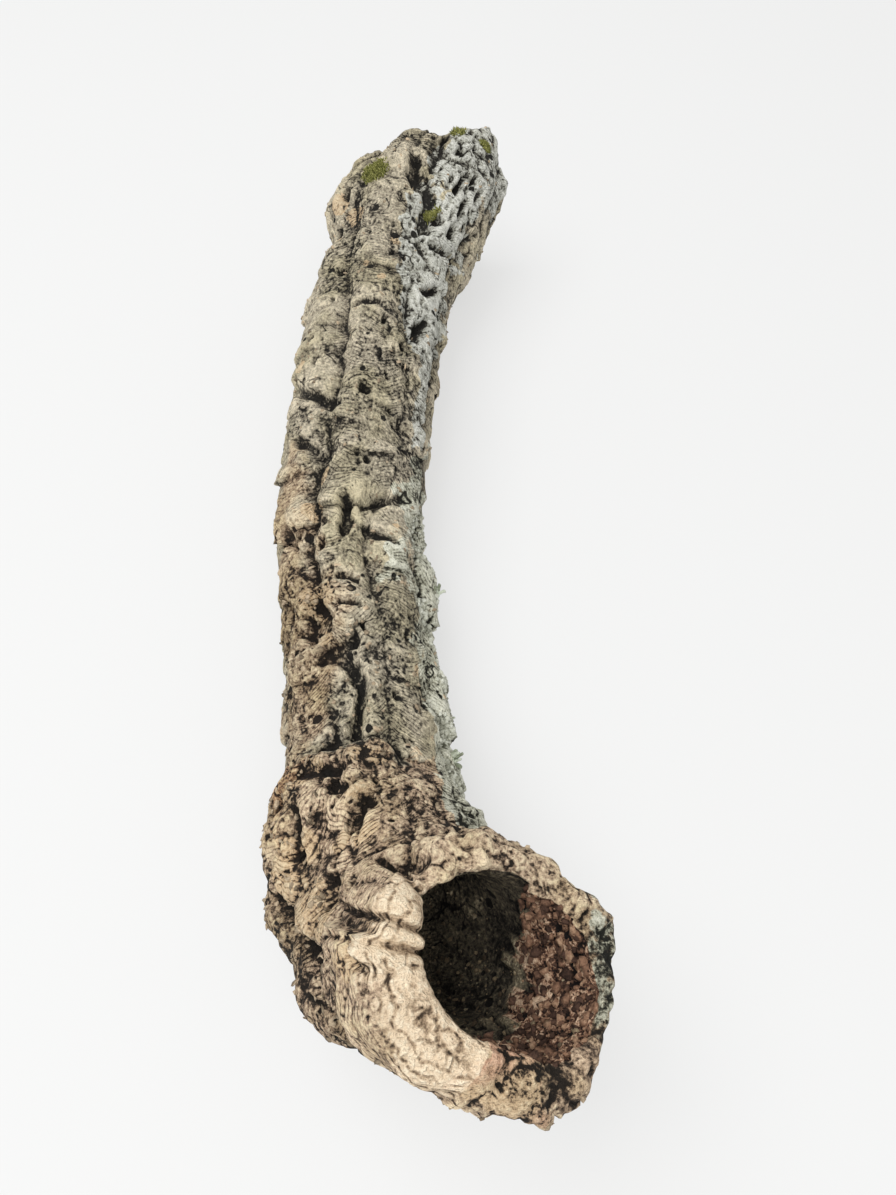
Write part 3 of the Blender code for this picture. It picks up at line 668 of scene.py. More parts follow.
def bark_grid():
    """The closed fine grid of points, the marks that colour it, and each point's s, phi and way to the mouth's edge.

    The marks say how hollow a place is, which growth line it is on, and what is bore and what is rim.
    """
    u = np.linspace(0, 2 * np.pi, AROUND, endpoint=False)
    phi = u + CROWDED * np.cos(u)
    start, end = edges(phi)
    v = np.linspace(0, 1, OUTER_ROWS)[:, None]
    v = v * (1 + OUTER_CROWDED * (1 - v))
    s_out = start + v * (end - start)
    phi_out = np.broadcast_to(phi, s_out.shape)
    r_out, reach, growth, crease = outer(s_out, phi_out)
    reach = reach * step(0.008, 0.010, end - s_out)
    p_out = round_point(s_out + reach, phi_out, r_out)

    t = np.linspace(0, 1, BORE_ROWS)[:, None]
    w = t - BORE_CROWDED * np.sin(2 * np.pi * t) / (2 * np.pi)
    s_in = end + w * (start - end)
    phi_in = np.broadcast_to(phi, s_in.shape)
    r_in = bore_radius(s_in, phi_in)
    p_in = round_point(s_in, phi_in, r_in)

    def rim(rows, s, out, inn, curl, forward, way):
        """Half-round rows that join the outside to the bore past the edge s."""
        a = np.linspace(0, np.pi, rows + 2)[1:-1, None]
        even_out, even_inn = smoothed(out), smoothed(inn)
        out = even_out + (out - even_out) * np.clip(1 - a / 0.9, 0, 1)
        inn = even_inn + (inn - even_inn) * np.clip(1 - (np.pi - a) / 0.7, 0, 1)
        radius = (out + inn) / 2 + (out - inn) / 2 * np.cos(a) - curl * np.sin(a)
        place = s + way * forward * np.sin(a)
        angle = np.broadcast_to(phi, place.shape)
        moved = warped(round_point(place, angle, radius))
        rough = sum(height * puffs(moved, cell, seed) for height, cell, seed in RIM_PUFFS) + layered(moved, RIM_GRIT)
        rough *= np.sin(a) ** 0.5 * (1 - LOBE_PLAIN * lobed(place, angle))
        rough -= CLEFT_DEEP * clefts(angle) * np.sin(a) * (way > 0)
        radius = radius + 0.5 * rough * np.cos(a)
        return round_point(place + way * rough, angle, radius), place, angle, rough

    def smoothed(values):
        """The running mean of a closed ring of values."""
        half = 8
        kernel = np.ones(2 * half + 1) / (2 * half + 1)
        return np.convolve(np.r_[values[-half:], values, values[:half]], kernel, "valid")

    curl = ring_values(LIP_CURL, phi)
    forward = ring_values(RIM_FORWARD, phi)
    p_rim, s_rim, phi_rim, rough = rim(RIM_ROWS, end, r_out[-1], r_in[0], curl, forward, 1)
    p_far, s_far, phi_far, rough_far = rim(FAR_RIM_ROWS, start, r_out[0], r_in[-1], 0, RIM_THICK, -1)
    p_far, rough_far = p_far[::-1], rough_far[::-1]
    points = settle(np.concatenate([p_out, p_rim, p_in, p_far])) - ORIGIN
    from_rim = (s_out - end + 0.0012 * noise(p_out, 0.008, 94)) / LINE_PITCH
    growth = np.where(end - s_out < LOBE_LONG, from_rim, growth)

    # How hollow a place is among its wider and its nearer surroundings, which the bark's colour darkens as painted
    # shade
    wide = np.concatenate([hollows(r_out, 4, 7), -0.6 * rough, hollows(-r_in, 2, 5), -0.6 * rough_far])
    small = np.concatenate([hollows(values, 1, 2) for values in (r_out, rough, -r_in, rough_far)])
    marks = {
        "sunk": wide / SUNK_DEPTH,
        "pitted": small / PITTED_DEPTH,
        "crease": np.concatenate([crease, step(0.0013, 0.0008, -rough), 0 * s_in, 0 * s_far]),
        "growth": np.concatenate([growth, (s_rim - end) / LINE_PITCH, s_in / LINE_PITCH, s_far / LINE_PITCH]),
        "bore": np.concatenate([0 * s_out, 0 * s_rim, 0 * s_in + 1, 0 * s_far]),
        "rim": np.concatenate([0 * s_out, 0 * s_rim + 1, 0 * s_in, 0 * s_far]),
    }
    s = np.concatenate([s_out, s_rim, s_in, s_far])
    angle = np.concatenate([phi_out, phi_rim, phi_in, phi_far])
    deep = np.broadcast_to(end, s.shape) - s
    return points, marks, s, angle, deep


def new_mesh(name, points, faces, values):
    """A smooth mesh of points and faces, with one number a point for each named value."""
    mesh = bpy.data.meshes.new(name)
    mesh.from_pydata(points.reshape(-1, 3), [], faces)
    mesh.shade_smooth()
    for key, numbers in values.items():
        layer = mesh.attributes.new(key, "FLOAT", "POINT")
        layer.data.foreach_set("value", numbers.astype(np.float32).ravel())
    return mesh


def shown(name, data):
    """A new object in the scene that holds a mesh, a lamp or a camera."""
    made = bpy.data.objects.new(name, data)
    bpy.context.collection.objects.link(made)
    return made


def closed_mesh(name, points, marks):
    """Joins a grid that closes on itself both ways into quads, with one value a point for each mark."""
    rows, around = points.shape[:2]
    i, j = np.meshgrid(np.arange(rows), np.arange(around), indexing="ij")
    here, after = i * around, (i + 1) % rows * around
    beside = (j + 1) % around
    quads = np.stack([here + j, after + j, after + beside, here + beside], -1).reshape(-1, 4)
    mesh = new_mesh(name, points, quads, marks)
    across = np.stack([j, j, j + 1, j + 1], -1) / around
    down = np.stack([i, i + 1, i + 1, i], -1) / rows
    uv = mesh.uv_layers.new(name="OFBake")
    uv.data.foreach_set("uv", np.stack([across, down], -1).astype(np.float32).ravel())
    return mesh


BARK_POINTS, BARK_MARKS, BARK_S, BARK_PHI, BARK_DEEP = bark_grid()

# Where lichen and moss grow on the bark, and where its colour changes, all as ragged patches from 0 to 1
PATCH = layered(BARK_POINTS, PATCH_LAYERS)
BARK_TURN = np.degrees(BARK_PHI) % 360
OUTSIDE = 1 - np.maximum(BARK_MARKS["bore"], BARK_MARKS["rim"])
NOT_BORE = 1 - BARK_MARKS["bore"]
BARK_MARKS["crust"] = OUTSIDE * crust(BARK_S, BARK_PHI, BARK_POINTS + ORIGIN)
# green-grey lichen on the tube's right and on the right of the mouth
right = near(BARK_TURN, 165, 45) + np.clip((BARK_S - 0.22) / 0.06, -1, 0) + np.clip((0.385 - BARK_S) / 0.03, -1, 0)
mouth = near(BARK_TURN, 215, 50) + np.clip((BARK_S - 0.40) / 0.02, -1, 0)
BARK_MARKS["green"] = NOT_BORE * step(0.35, 0.6, np.maximum(right, mouth) + PATCH)
BARK_MARKS["green"] *= 1 - 0.42 * step(0.40, 0.03, BARK_S)
# warmer cork from the bend to the mouth, a reddish patch on the left, and grit low on the tube
BARK_MARKS["warm"] = NOT_BORE * step(0.338, 0.022, BARK_S + 0.02 * PATCH)
red = near(BARK_TURN, 40, 40) - np.clip(np.abs(BARK_S - 0.285) / 0.042 - 1, 0, 2)
BARK_MARKS["red"] = OUTSIDE * step(0.25, 0.6, red + PATCH)
gritty = near(BARK_S, 0.300, 0.070) + 0.8 * near(BARK_S, 0.346, 0.010, 0)
BARK_MARKS["gritty"] = OUTSIDE * step(0.35, 0.7, gritty + 0.9 * PATCH)
# how much lighter each part of the mouth is: phi, half the width and the share
TONES = [(140, 58, 1.0), (228, 40, -1.0), (284, 36, -0.8)]
lighter = sum(share * np.clip((half - np.abs(BARK_TURN - at)) / 13, 0, 1) for at, half, share in TONES)
BARK_MARKS["mouth"] = NOT_BORE * (step(0.425, 0.02, BARK_S) * lighter + 0.15 * lobed(BARK_S, BARK_PHI))
# the crumbly wall, and the freshly broken edge at the front of the mouth
BARK_MARKS["crumbly"] = BARK_MARKS["bore"] * crumbly(BARK_S, BARK_PHI, BARK_POINTS + ORIGIN)
cut = near(BARK_TURN, 312, 32)
BARK_MARKS["cut"] = BARK_MARKS["rim"] * step(0.25, 0.5, cut + 0.9 * PATCH) * (BARK_S > LENGTH / 2)
# where growth lines show, the pale lobes, the rough foot at the left of the bend, darkened as painted shade, and how
# rough the bark looks
LINED = step(0.0, 0.5, 0.2 + layered(BARK_POINTS, LINED_LAYERS))
BARK_MARKS["lined"] = np.maximum(OUTSIDE * LINED * 0.7, NOT_BORE * lobed(BARK_S, BARK_PHI))
at_rim = step(-0.002, 0.006, 0.008 * PATCH - BARK_DEEP)
BARK_MARKS["lobed"] = NOT_BORE * lobed(BARK_S, BARK_PHI) * (0.12 + 0.88 * at_rim)
# The foot at the left of the bend is darkened as painted shade, and made rougher
shaded_foot = near(np.degrees(turned_by(BARK_PHI, -6)), 0, 32) - np.clip(np.abs(BARK_S - 0.392) / 0.026 - 1, 0, 2)
BARK_MARKS["shaded_foot"] = OUTSIDE * step(0.15, 0.3, shaded_foot + 0.5 * PATCH)
swirled = collar(BARK_S, BARK_PHI, BARK_POINTS + ORIGIN)
BARK_MARKS["lined"] = np.clip(BARK_MARKS["lined"] + 0.6 * OUTSIDE * swirled * LINED, 0, 0.8)
rough = coarse(BARK_POINTS + ORIGIN) + 0.25 * swirled - 0.30 * step(0.425, 0.02, BARK_S) + 0.6 * BARK_MARKS["shaded_foot"]
BARK_MARKS["coarse"] = np.clip(rough, 0.40, 1.1) * (1 - 0.45 * BARK_MARKS["lobed"])
BARK_MARKS["crease"] *= 1 - 0.6 * BARK_MARKS["lobed"]


SPOT_RADIUS = 0.034     # turns an angle about the tube into a distance on it


def spotted(rows):
    """Ragged round patches from 0 to 1 about given places: s, phi and size."""
    nearest = np.full(BARK_S.shape, -1.0)
    for s0, phi0, size in rows:
        away = np.hypot(BARK_S - s0, turned_by(BARK_PHI, phi0) * SPOT_RADIUS)
        nearest = np.maximum(nearest, 1 - away / size)
    return NOT_BORE * step(0.25, 0.4, nearest + 0.5 * PATCH)


# Where bare, pale cork shows through the weathered skin
BARE = [
    (0.2282, 149, 0.0030), (0.2404, 132, 0.0028), (0.3436, 89, 0.0046), (0.3613, 86, 0.0042), (0.272, 64, 0.0095),
    (0.3457, 57, 0.0060), (0.3438, 63, 0.0040), (0.232, 66, 0.0060), (0.216, 72, 0.0050), (0.305, 140, 0.0050),
    (0.078, 46, 0.0040), (0.066, 58, 0.0060), (0.058, 44, 0.0050), (0.083, 101, 0.0034), (0.100, 84, 0.0030),
    (0.109, 99, 0.0034), (0.158, 45, 0.0040), (0.288, 66, 0.0050), (0.347, 100, 0.0040), (0.375, 70, 0.0050),
    (0.382, 82, 0.0055), (0.392, 60, 0.0040), (0.438, 37, 0.0055), (0.430, 33, 0.0040),
    (0.384, 42, 0.0120), (0.371, 36, 0.0090), (0.396, 47, 0.0100), (0.366, 50, 0.0080),
]
BARK_MARKS["bare"] = spotted(BARE)
# Dark, gritty patches: black grit, and painted shade along the edge of the bend, under a plate and in a furrow
GRIT_AND_SHADE = [
    (0.343, 60, 0.008), (0.3435, 75, 0.009), (0.3425, 94, 0.008), (0.3415, 108, 0.006), (0.352, 30, 0.009),
    (0.366, 86, 0.006), (0.332, 67, 0.006), (0.262, 30, 0.007), (0.362, 62, 0.005), (0.449, 262, 0.006),
    (0.4558, 242, 0.005), (0.300, 100, 0.006),
]
BARK_MARKS["grit_and_shade"] = spotted(GRIT_AND_SHADE)
BARK_MARKS["gritty"] = np.maximum(BARK_MARKS["gritty"], BARK_MARKS["grit_and_shade"])
# The four tufts of moss
TUFTS = [(0.0438, 68, 0.0066), (0.0535, 120, 0.0032), (-0.0018, 132, 0.0036), (0.0013, 110, 0.0030)]
BARK_MARKS["mossy"] = spotted(TUFTS)

bark = shown("bark_skin", closed_mesh("bark_skin", BARK_POINTS, BARK_MARKS))


def blank_material(name):
    """A new material with only its Principled shader and output: the material, its tree and the shader."""
    material = bpy.data.materials.new(name)
    material.use_nodes = True
    tree = material.node_tree
    return material, tree, tree.nodes["Principled BSDF"]


def put(tree, kind, **given):
    """A new node of a kind in a tree. Names of its settings are set, and names of its inputs are set or linked."""
    made = tree.nodes.new(kind)
    for key, value in given.items():
        if hasattr(made, key):
            setattr(made, key, value)
    for key, value in given.items():
        if not hasattr(made, key):
            link_or_set(tree, made.inputs[int(key[1:]) if key[0] == "i" and key[1:].isdigit() else key], value)
    return made


def link_or_set(tree, socket, value):
    """Links a socket to another socket, or sets it to a value."""
    if isinstance(value, bpy.types.NodeSocket):
        tree.links.new(value, socket)
    else:
        socket.default_value = value


def sum_of(tree, operation, a, b, c=0.0):
    """The output of a Math node."""
    return put(tree, "ShaderNodeMath", operation=operation, i0=a, i1=b, i2=c).outputs[0]


def mixed(tree, share, a, b, blend="MIX"):
    """The colour output of a Mix node from colour a to colour b by share."""
    made = tree.nodes.new("ShaderNodeMix")
    made.data_type = "RGBA"
    made.blend_type = blend
    for n, value in ((0, share), (6, a), (7, b)):
        link_or_set(tree, made.inputs[n], value)
    return made.outputs[2]


def mark(tree, name):
    """A point value of the mesh as an output."""
    made = tree.nodes.new("ShaderNodeAttribute")
    made.attribute_name = name
    return made.outputs["Fac"]


def ramp(tree, value, low, high):
    """A value mapped from low..high to 0..1, smoothly and clamped."""
    made = put(tree, "ShaderNodeMapRange", interpolation_type="SMOOTHSTEP", Value=value)
    made.inputs["From Min"].default_value = low
    made.inputs["From Max"].default_value = high
    return made.outputs["Result"]


def grains(tree, vector, scale, detail=4.0, rough=0.6, distortion=0.0):
    """The value output of a Noise texture."""
    made = tree.nodes.new("ShaderNodeTexNoise")
    for key, value in (("Vector", vector), ("Scale", scale), ("Detail", detail), ("Roughness", rough),
                       ("Distortion", distortion)):
        link_or_set(tree, made.inputs[key], value)
    return made.outputs["Fac"]


def shades(tree, value, stops):
    """The colour for a value, blended between stops: each row is a place from 0 to 1, red, green and blue."""
    made = put(tree, "ShaderNodeValToRGB", Fac=value)
    scale = made.color_ramp.elements
    for _ in stops[2:]:
        scale.new(0.5)
    for stop, (at, *tint) in zip(scale, stops):
        stop.position = at
        stop.color = (*tint, 1)
    return made.outputs["Color"]


# Colours from the deepest crevice to the highest, barest cork: the darkest stops also carry the painted shade of
# crevices and hollows
WEATHERED = [
    (0.22, 0.018, 0.016, 0.013), (0.33, 0.110, 0.095, 0.071), (0.43, 0.320, 0.278, 0.208),
    (0.56, 0.520, 0.460, 0.345), (0.70, 0.820, 0.720, 0.540),
]
WARM_CORK = [
    (0.22, 0.020, 0.015, 0.011), (0.33, 0.125, 0.087, 0.060), (0.43, 0.410, 0.295, 0.200),
    (0.56, 0.690, 0.520, 0.360), (0.70, 0.950, 0.780, 0.540),
]
LICHEN_CRUST = [
    (0.24, 0.026, 0.024, 0.020), (0.34, 0.160, 0.150, 0.122), (0.44, 0.420, 0.412, 0.350),
    (0.56, 0.620, 0.618, 0.545), (0.70, 0.820, 0.815, 0.740),
]
GREEN_GREY = [
    (0.23, 0.018, 0.018, 0.014), (0.33, 0.125, 0.119, 0.086), (0.42, 0.390, 0.380, 0.290),
    (0.54, 0.640, 0.630, 0.500), (0.68, 0.860, 0.850, 0.710),
]
PALE_LOBE = [
    (0.20, 0.060, 0.040, 0.026), (0.30, 0.300, 0.210, 0.132), (0.40, 0.620, 0.465, 0.310),
    (0.52, 0.860, 0.680, 0.475), (0.68, 0.960, 0.830, 0.630),
]
RED_CRUMB = [
    (0.30, 0.008, 0.005, 0.004), (0.41, 0.045, 0.022, 0.015), (0.50, 0.180, 0.092, 0.056),
    (0.58, 0.480, 0.285, 0.180), (0.70, 0.800, 0.580, 0.400),
]
BLACK_FLOOR = [
    (0.28, 0.012, 0.010, 0.008), (0.42, 0.060, 0.050, 0.036), (0.54, 0.140, 0.118, 0.080),
    (0.70, 0.260, 0.215, 0.140), (0.84, 0.620, 0.520, 0.350),
]
# Tints that are laid over those
OLIVE = (0.86, 0.86, 0.78, 1)
RUSSET = (0.62, 0.40, 0.30, 1)
FLESH = (0.82, 0.60, 0.58, 1)
PALE_CORK = (0.86, 0.80, 0.70, 1)

material, tree, shader = blank_material("cork_bark")
where = tree.nodes.new("ShaderNodeTexCoord").outputs["Object"]
broad = grains(tree, where, 42, 3)
middle = grains(tree, where, 170, 6, 0.68)
fine = grains(tree, where, 640, 4, 0.7)
specks = grains(tree, where, 1900, 2, 0.6)


def nudged(far, scale):
    """The place on the bark, moved about by up to a distance by noise of a scale."""
    moved = put(tree, "ShaderNodeVectorMath", operation="MULTIPLY_ADD", i1=(far, far, far), i2=where)
    tree.links.new(put(tree, "ShaderNodeTexNoise", Vector=where, Scale=scale).outputs["Color"], moved.inputs[0])
    return moved.outputs[0]


# Grit: small pebbly cells
close_by = nudged(0.0018, 420.0)
pebbles = put(tree, "ShaderNodeTexVoronoi", feature="F1", Vector=close_by, Scale=520.0).outputs["Distance"]
pebble = ramp(tree, pebbles, 0.62, 0.15)

# Growth lines: thin and dark, on the number that runs along the bark, broken up and only in places
number = sum_of(tree, "MULTIPLY_ADD", grains(tree, where, 150, 2), 1.6, mark(tree, "growth"))
near_line = sum_of(tree, "PINGPONG", number, 0.5)
line = sum_of(tree, "SUBTRACT", 1.0, ramp(tree, near_line, 0.04, 0.22))
line = sum_of(tree, "MULTIPLY", line, mark(tree, "lined"))
line = sum_of(tree, "MULTIPLY", line, ramp(tree, middle, 0.38, 0.54))

# Short cracks: the borders of stretched cells, where the bark is loose
cells = put(tree, "ShaderNodeTexVoronoi", feature="DISTANCE_TO_EDGE", Vector=nudged(0.010, 110.0), Scale=120.0)
some = ramp(tree, grains(tree, where, 95, 2), 0.50, 0.64)
crack = sum_of(tree, "SUBTRACT", 1.0, ramp(tree, cells.outputs["Distance"], 0.01, 0.07))
crack = sum_of(tree, "MULTIPLY", crack, some)

# Black grit: specks in loose patches
dots = put(tree, "ShaderNodeTexVoronoi", feature="F1", Vector=close_by, Scale=300.0).outputs["Distance"]
dot = sum_of(tree, "SUBTRACT", 1.0, ramp(tree, dots, 0.16, 0.36))
dot = sum_of(tree, "MULTIPLY", dot, ramp(tree, grains(tree, where, 210, 2), 0.46, 0.58))
dot = sum_of(tree, "MULTIPLY", dot, sum_of(tree, "MULTIPLY_ADD", mark(tree, "gritty"), 0.75, 0.25))

# Pores: crisp black holes, one in about every other large cell
pores = put(tree, "ShaderNodeTexVoronoi", feature="F1", Vector=close_by, Scale=105.0)
picked = put(tree, "ShaderNodeSeparateColor", Color=pores.outputs["Color"]).outputs[0]
pore = sum_of(tree, "MULTIPLY", ramp(tree, picked, 0.45, 0.95), 0.20)
pore = sum_of(tree, "SUBTRACT", pore, pores.outputs["Distance"])
pore = sum_of(tree, "MULTIPLY", ramp(tree, pore, -0.015, 0.03), ramp(tree, mark(tree, "lobed"), 0.3, 0.1))


def edged(name):
    """A mark of the mesh with its border made ragged by the grain."""
    nibbled = sum_of(tree, "MULTIPLY_ADD", sum_of(tree, "SUBTRACT", middle, 0.5), 1.6, mark(tree, name))
    return ramp(tree, nibbled, 0.40, 0.60)


def added(start, *shares):
    """A value with others added to it, each times its share."""
    for value, share in shares:
        start = sum_of(tree, "MULTIPLY_ADD", value, share, start)
    return start


# How high or hollow a place is, from 0 to 1, first as its grain, grit, lines and cracks say
level = added(-0.79, (middle, 0.62), (fine, 0.80), (pebble, 0.16))
level = sum_of(tree, "MULTIPLY_ADD", level, mark(tree, "coarse"), 0.22)
stipple = grains(tree, where, 900, 2, 0.7)
level = added(level, (stipple, 0.62), (line, -0.19), (crack, -0.24), (dot, -0.38), (pore, -0.45))
# The creases between the puffs are darkened here as painted shade, and sunk a little in the bump as well
level = added(level, (mark(tree, "crease"), -0.16))
# and then as the modelled relief and the place on the bark say: hollows and pits are darkened as painted shade, and
# what stands out is made lighter
hollow_shade = put(tree, "ShaderNodeClamp", Value=mark(tree, "sunk"), Min=-1.2, Max=3.0).outputs[0]
pit_shade = put(tree, "ShaderNodeClamp", Value=mark(tree, "pitted"), Min=-1.0, Max=1.6).outputs[0]
# Here the foot is darkened as painted shade, and the dark grit patches partly so
shaded = added(
    level, (hollow_shade, -0.085), (pit_shade, -0.055), (broad, 0.20), (mark(tree, "lobed"), 0.04),
    (mark(tree, "shaded_foot"), -0.19), (mark(tree, "mouth"), 0.085), (edged("grit_and_shade"), -0.11),
)
shaded = sum_of(tree, "MULTIPLY_ADD", shaded, 1.13, -0.171)

color = mixed(tree, edged("warm"), shades(tree, shaded, WEATHERED), shades(tree, shaded, WARM_CORK))
color = mixed(tree, ramp(tree, grains(tree, where, 30, 3), 0.42, 0.62), color, OLIVE, "MULTIPLY")
color = mixed(tree, sum_of(tree, "MULTIPLY", mark(tree, "red"), 0.60), color, RUSSET, "SOFT_LIGHT")
bare = sum_of(tree, "MULTIPLY", edged("bare"), ramp(tree, shaded, 0.28, 0.46))
pale = shades(tree, added(0.195, (shaded, 0.65), (line, -0.15)), PALE_LOBE)
color = mixed(tree, sum_of(tree, "MULTIPLY", bare, 0.8), color, mixed(tree, 1.0, pale, PALE_CORK, "MULTIPLY"))
color = mixed(tree, edged("green"), color, shades(tree, shaded, GREEN_GREY))
color = mixed(tree, edged("crust"), color, shades(tree, shaded, LICHEN_CRUST))
freshly = mixed(tree, ramp(tree, broad, 0.42, 0.60), FLESH, PALE_CORK)
bare = sum_of(tree, "MULTIPLY", edged("cut"), ramp(tree, shaded, 0.26, 0.44))
color = mixed(tree, sum_of(tree, "MULTIPLY", bare, 0.7), color, mixed(tree, 1.0, pale, freshly, "MULTIPLY"))
color = mixed(tree, sum_of(tree, "MULTIPLY", edged("lobed"), 0.85), color, pale)
moss_felt = mixed(tree, ramp(tree, fine, 0.4, 0.6), (0.07, 0.08, 0.02, 1), (0.28, 0.29, 0.09, 1))
color = mixed(tree, edged("mossy"), color, moss_felt)
lumpy = added(-0.175, (shaded, 1.0), (specks, 0.35))
color = mixed(tree, mark(tree, "bore"), color, shades(tree, lumpy, BLACK_FLOOR))
color = mixed(tree, edged("crumbly"), color, shades(tree, lumpy, RED_CRUMB))
tree.links.new(color, shader.inputs["Base Color"])
tree.links.new(sum_of(tree, "MULTIPLY_ADD", fine, 0.14, 0.83), shader.inputs["Roughness"])
shader.inputs["Specular IOR Level"].default_value = 0.25

height = sum_of(tree, "MULTIPLY_ADD", specks, 0.10, level)
bump = put(tree, "ShaderNodeBump", Height=height, Strength=1.0, Distance=0.0032)
tree.links.new(bump.outputs["Normal"], shader.inputs["Normal"])
bark.data.materials.append(material)

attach(bark, "root")
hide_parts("bark")


# The granular lichen: pale grey-green lumps that crowd on the right edge of the tube, and here and there above it.
# They are dry, crusty grains, grown fast to the bark.


def facing(points):
    """Outward normals of a closed grid's points, the direction from row to row, and the area about each point."""
    down = np.roll(points, -1, 0) - np.roll(points, 1, 0)
    across = np.roll(points, -1, 1) - np.roll(points, 1, 1)
    normal = np.cross(down, across)
    area = np.linalg.norm(normal, axis=-1, keepdims=True) + 1e-12
    return normal / area, down / (np.linalg.norm(down, axis=-1, keepdims=True) + 1e-12), area[..., 0]


BARK_NORMAL, BARK_DOWN, BARK_AREA = facing(BARK_POINTS)
OFF_FLOOR = 0.004       # nothing small is set lower than this
SKIN_RADIUS = 0.035     # the tube's usual radius, which makes an angle about it a distance


def spots(chance, count, draw):
    """Places drawn anywhere on the bark, more where the chance is higher: the point, its normal and a direction.

    A cell of the grid is drawn first, and then a place in it, blended between its four corners.
    """
    weight = (np.clip(chance, 0, None) * BARK_AREA * (BARK_POINTS[..., 2] > OFF_FLOOR)).ravel()
    i, j = np.divmod(draw.choice(weight.size, count, p=weight / weight.sum()), BARK_POINTS.shape[1])
    a, b = draw.random((2, count, 1))
    i2, j2 = (i + 1) % BARK_POINTS.shape[0], (j + 1) % BARK_POINTS.shape[1]
    found = []
    for grid in (BARK_POINTS, BARK_NORMAL, BARK_DOWN):
        upper, lower = (1 - b) * grid[i, j] + b * grid[i, j2], (1 - b) * grid[i2, j] + b * grid[i2, j2]
        found.append((1 - a) * upper + a * lower)
    found[1] /= np.linalg.norm(found[1], axis=1, keepdims=True)
    return found


def ringed(rings, sides):
    """A closed form of rings of points (radius and height each) with a point at each end, and its triangles."""
    radius, height = np.array(rings, float).T
    turn = 2 * np.pi * np.arange(sides) / sides
    levels = np.repeat(height[1:-1, None], sides, 1)
    middle = np.stack([np.outer(radius[1:-1], np.cos(turn)), np.outer(radius[1:-1], np.sin(turn)), levels], -1)
    form = np.concatenate([[(0, 0, height[0])], middle.reshape(-1, 3), [(0, 0, height[-1])]])
    last = len(form) - 1
    k = np.arange(sides)
    m = (k + 1) % sides
    faces = [np.stack([0 * k, 1 + m, 1 + k], -1), np.stack([0 * k + last, last - sides + k, last - sides + m], -1)]
    n, k = np.meshgrid(1 + sides * np.arange(len(rings) - 3), k, indexing="ij")
    m = (k + 1) % sides
    faces += [np.stack([n + k, n + m, n + sides + m], -1).reshape(-1, 3)]
    faces += [np.stack([n + k, n + sides + m, n + sides + k], -1).reshape(-1, 3)]
    return form, np.concatenate(faces)


def scattered(name, form, faces, place, normal, down, size, draw, uneven=0.25, lean=0.0):
    """Many copies of a small closed form in one mesh: each sized, made uneven, spun about its normal and set down.

    size holds three lengths a copy, and lean tips each copy's normal by up to about that many radians.
    """
    count = len(place)
    normal = normal + lean * draw.uniform(-1, 1, (count, 3))
    normal = normal / np.linalg.norm(normal, axis=1, keepdims=True)
    spin = draw.uniform(0, 2 * np.pi, (count, 1))
    first = np.cross(normal, down)
    first /= np.linalg.norm(first, axis=1, keepdims=True)
    first = np.cos(spin) * first + np.sin(spin) * np.cross(normal, first)
    second = np.cross(normal, first)
    local = form * (1 + uneven * draw.uniform(-1, 1, (count, len(form), 1))) * size[:, None]
    axes = np.stack([first, second, normal], 1)
    points = place[:, None] + local @ axes
    number = np.arange(count)[:, None, None] * len(form) + faces
    tone = np.repeat(draw.random(count), len(form))
    return shown(name, new_mesh(name, points, number.reshape(-1, 3), {"tone": tone}))


# The group that gives each copy's own tone mixed with grain, and the bump of that grain
COPY_GRAIN = bpy.data.node_groups.new("copy_grain", "ShaderNodeTree")
COPY_GRAIN.interface.new_socket("Scale", in_out="INPUT", socket_type="NodeSocketFloat")
COPY_GRAIN.interface.new_socket("Distance", in_out="INPUT", socket_type="NodeSocketFloat")
COPY_GRAIN.interface.new_socket("Value", in_out="OUTPUT", socket_type="NodeSocketFloat")
COPY_GRAIN.interface.new_socket("Normal", in_out="OUTPUT", socket_type="NodeSocketVector")
given = COPY_GRAIN.nodes.new("NodeGroupInput").outputs
result = COPY_GRAIN.nodes.new("NodeGroupOutput").inputs
where = COPY_GRAIN.nodes.new("ShaderNodeTexCoord").outputs["Object"]
grain = grains(COPY_GRAIN, where, given["Scale"], 4, 0.7)
value = sum_of(COPY_GRAIN, "MULTIPLY_ADD", mark(COPY_GRAIN, "tone"), 0.45, sum_of(COPY_GRAIN, "MULTIPLY", grain, 0.6))
bump = put(COPY_GRAIN, "ShaderNodeBump", Height=grain, Distance=given["Distance"])
COPY_GRAIN.links.new(value, result["Value"])
COPY_GRAIN.links.new(bump.outputs["Normal"], result["Normal"])


def toned(name, stops, size, rough=0.9):
    """A matt material whose colour goes through the stops by each copy's own tone and by grain of the given size."""
    material, tree, shader = blank_material(name)
    made = tree.nodes.new("ShaderNodeGroup")
    made.node_tree = COPY_GRAIN
    made.inputs["Scale"].default_value = 1 / size
    made.inputs["Distance"].default_value = size
    tree.links.new(shades(tree, made.outputs["Value"], stops), shader.inputs["Base Color"])
    tree.links.new(made.outputs["Normal"], shader.inputs["Normal"])
    shader.inputs["Roughness"].default_value = rough
    shader.inputs["Specular IOR Level"].default_value = 0.2
    return material


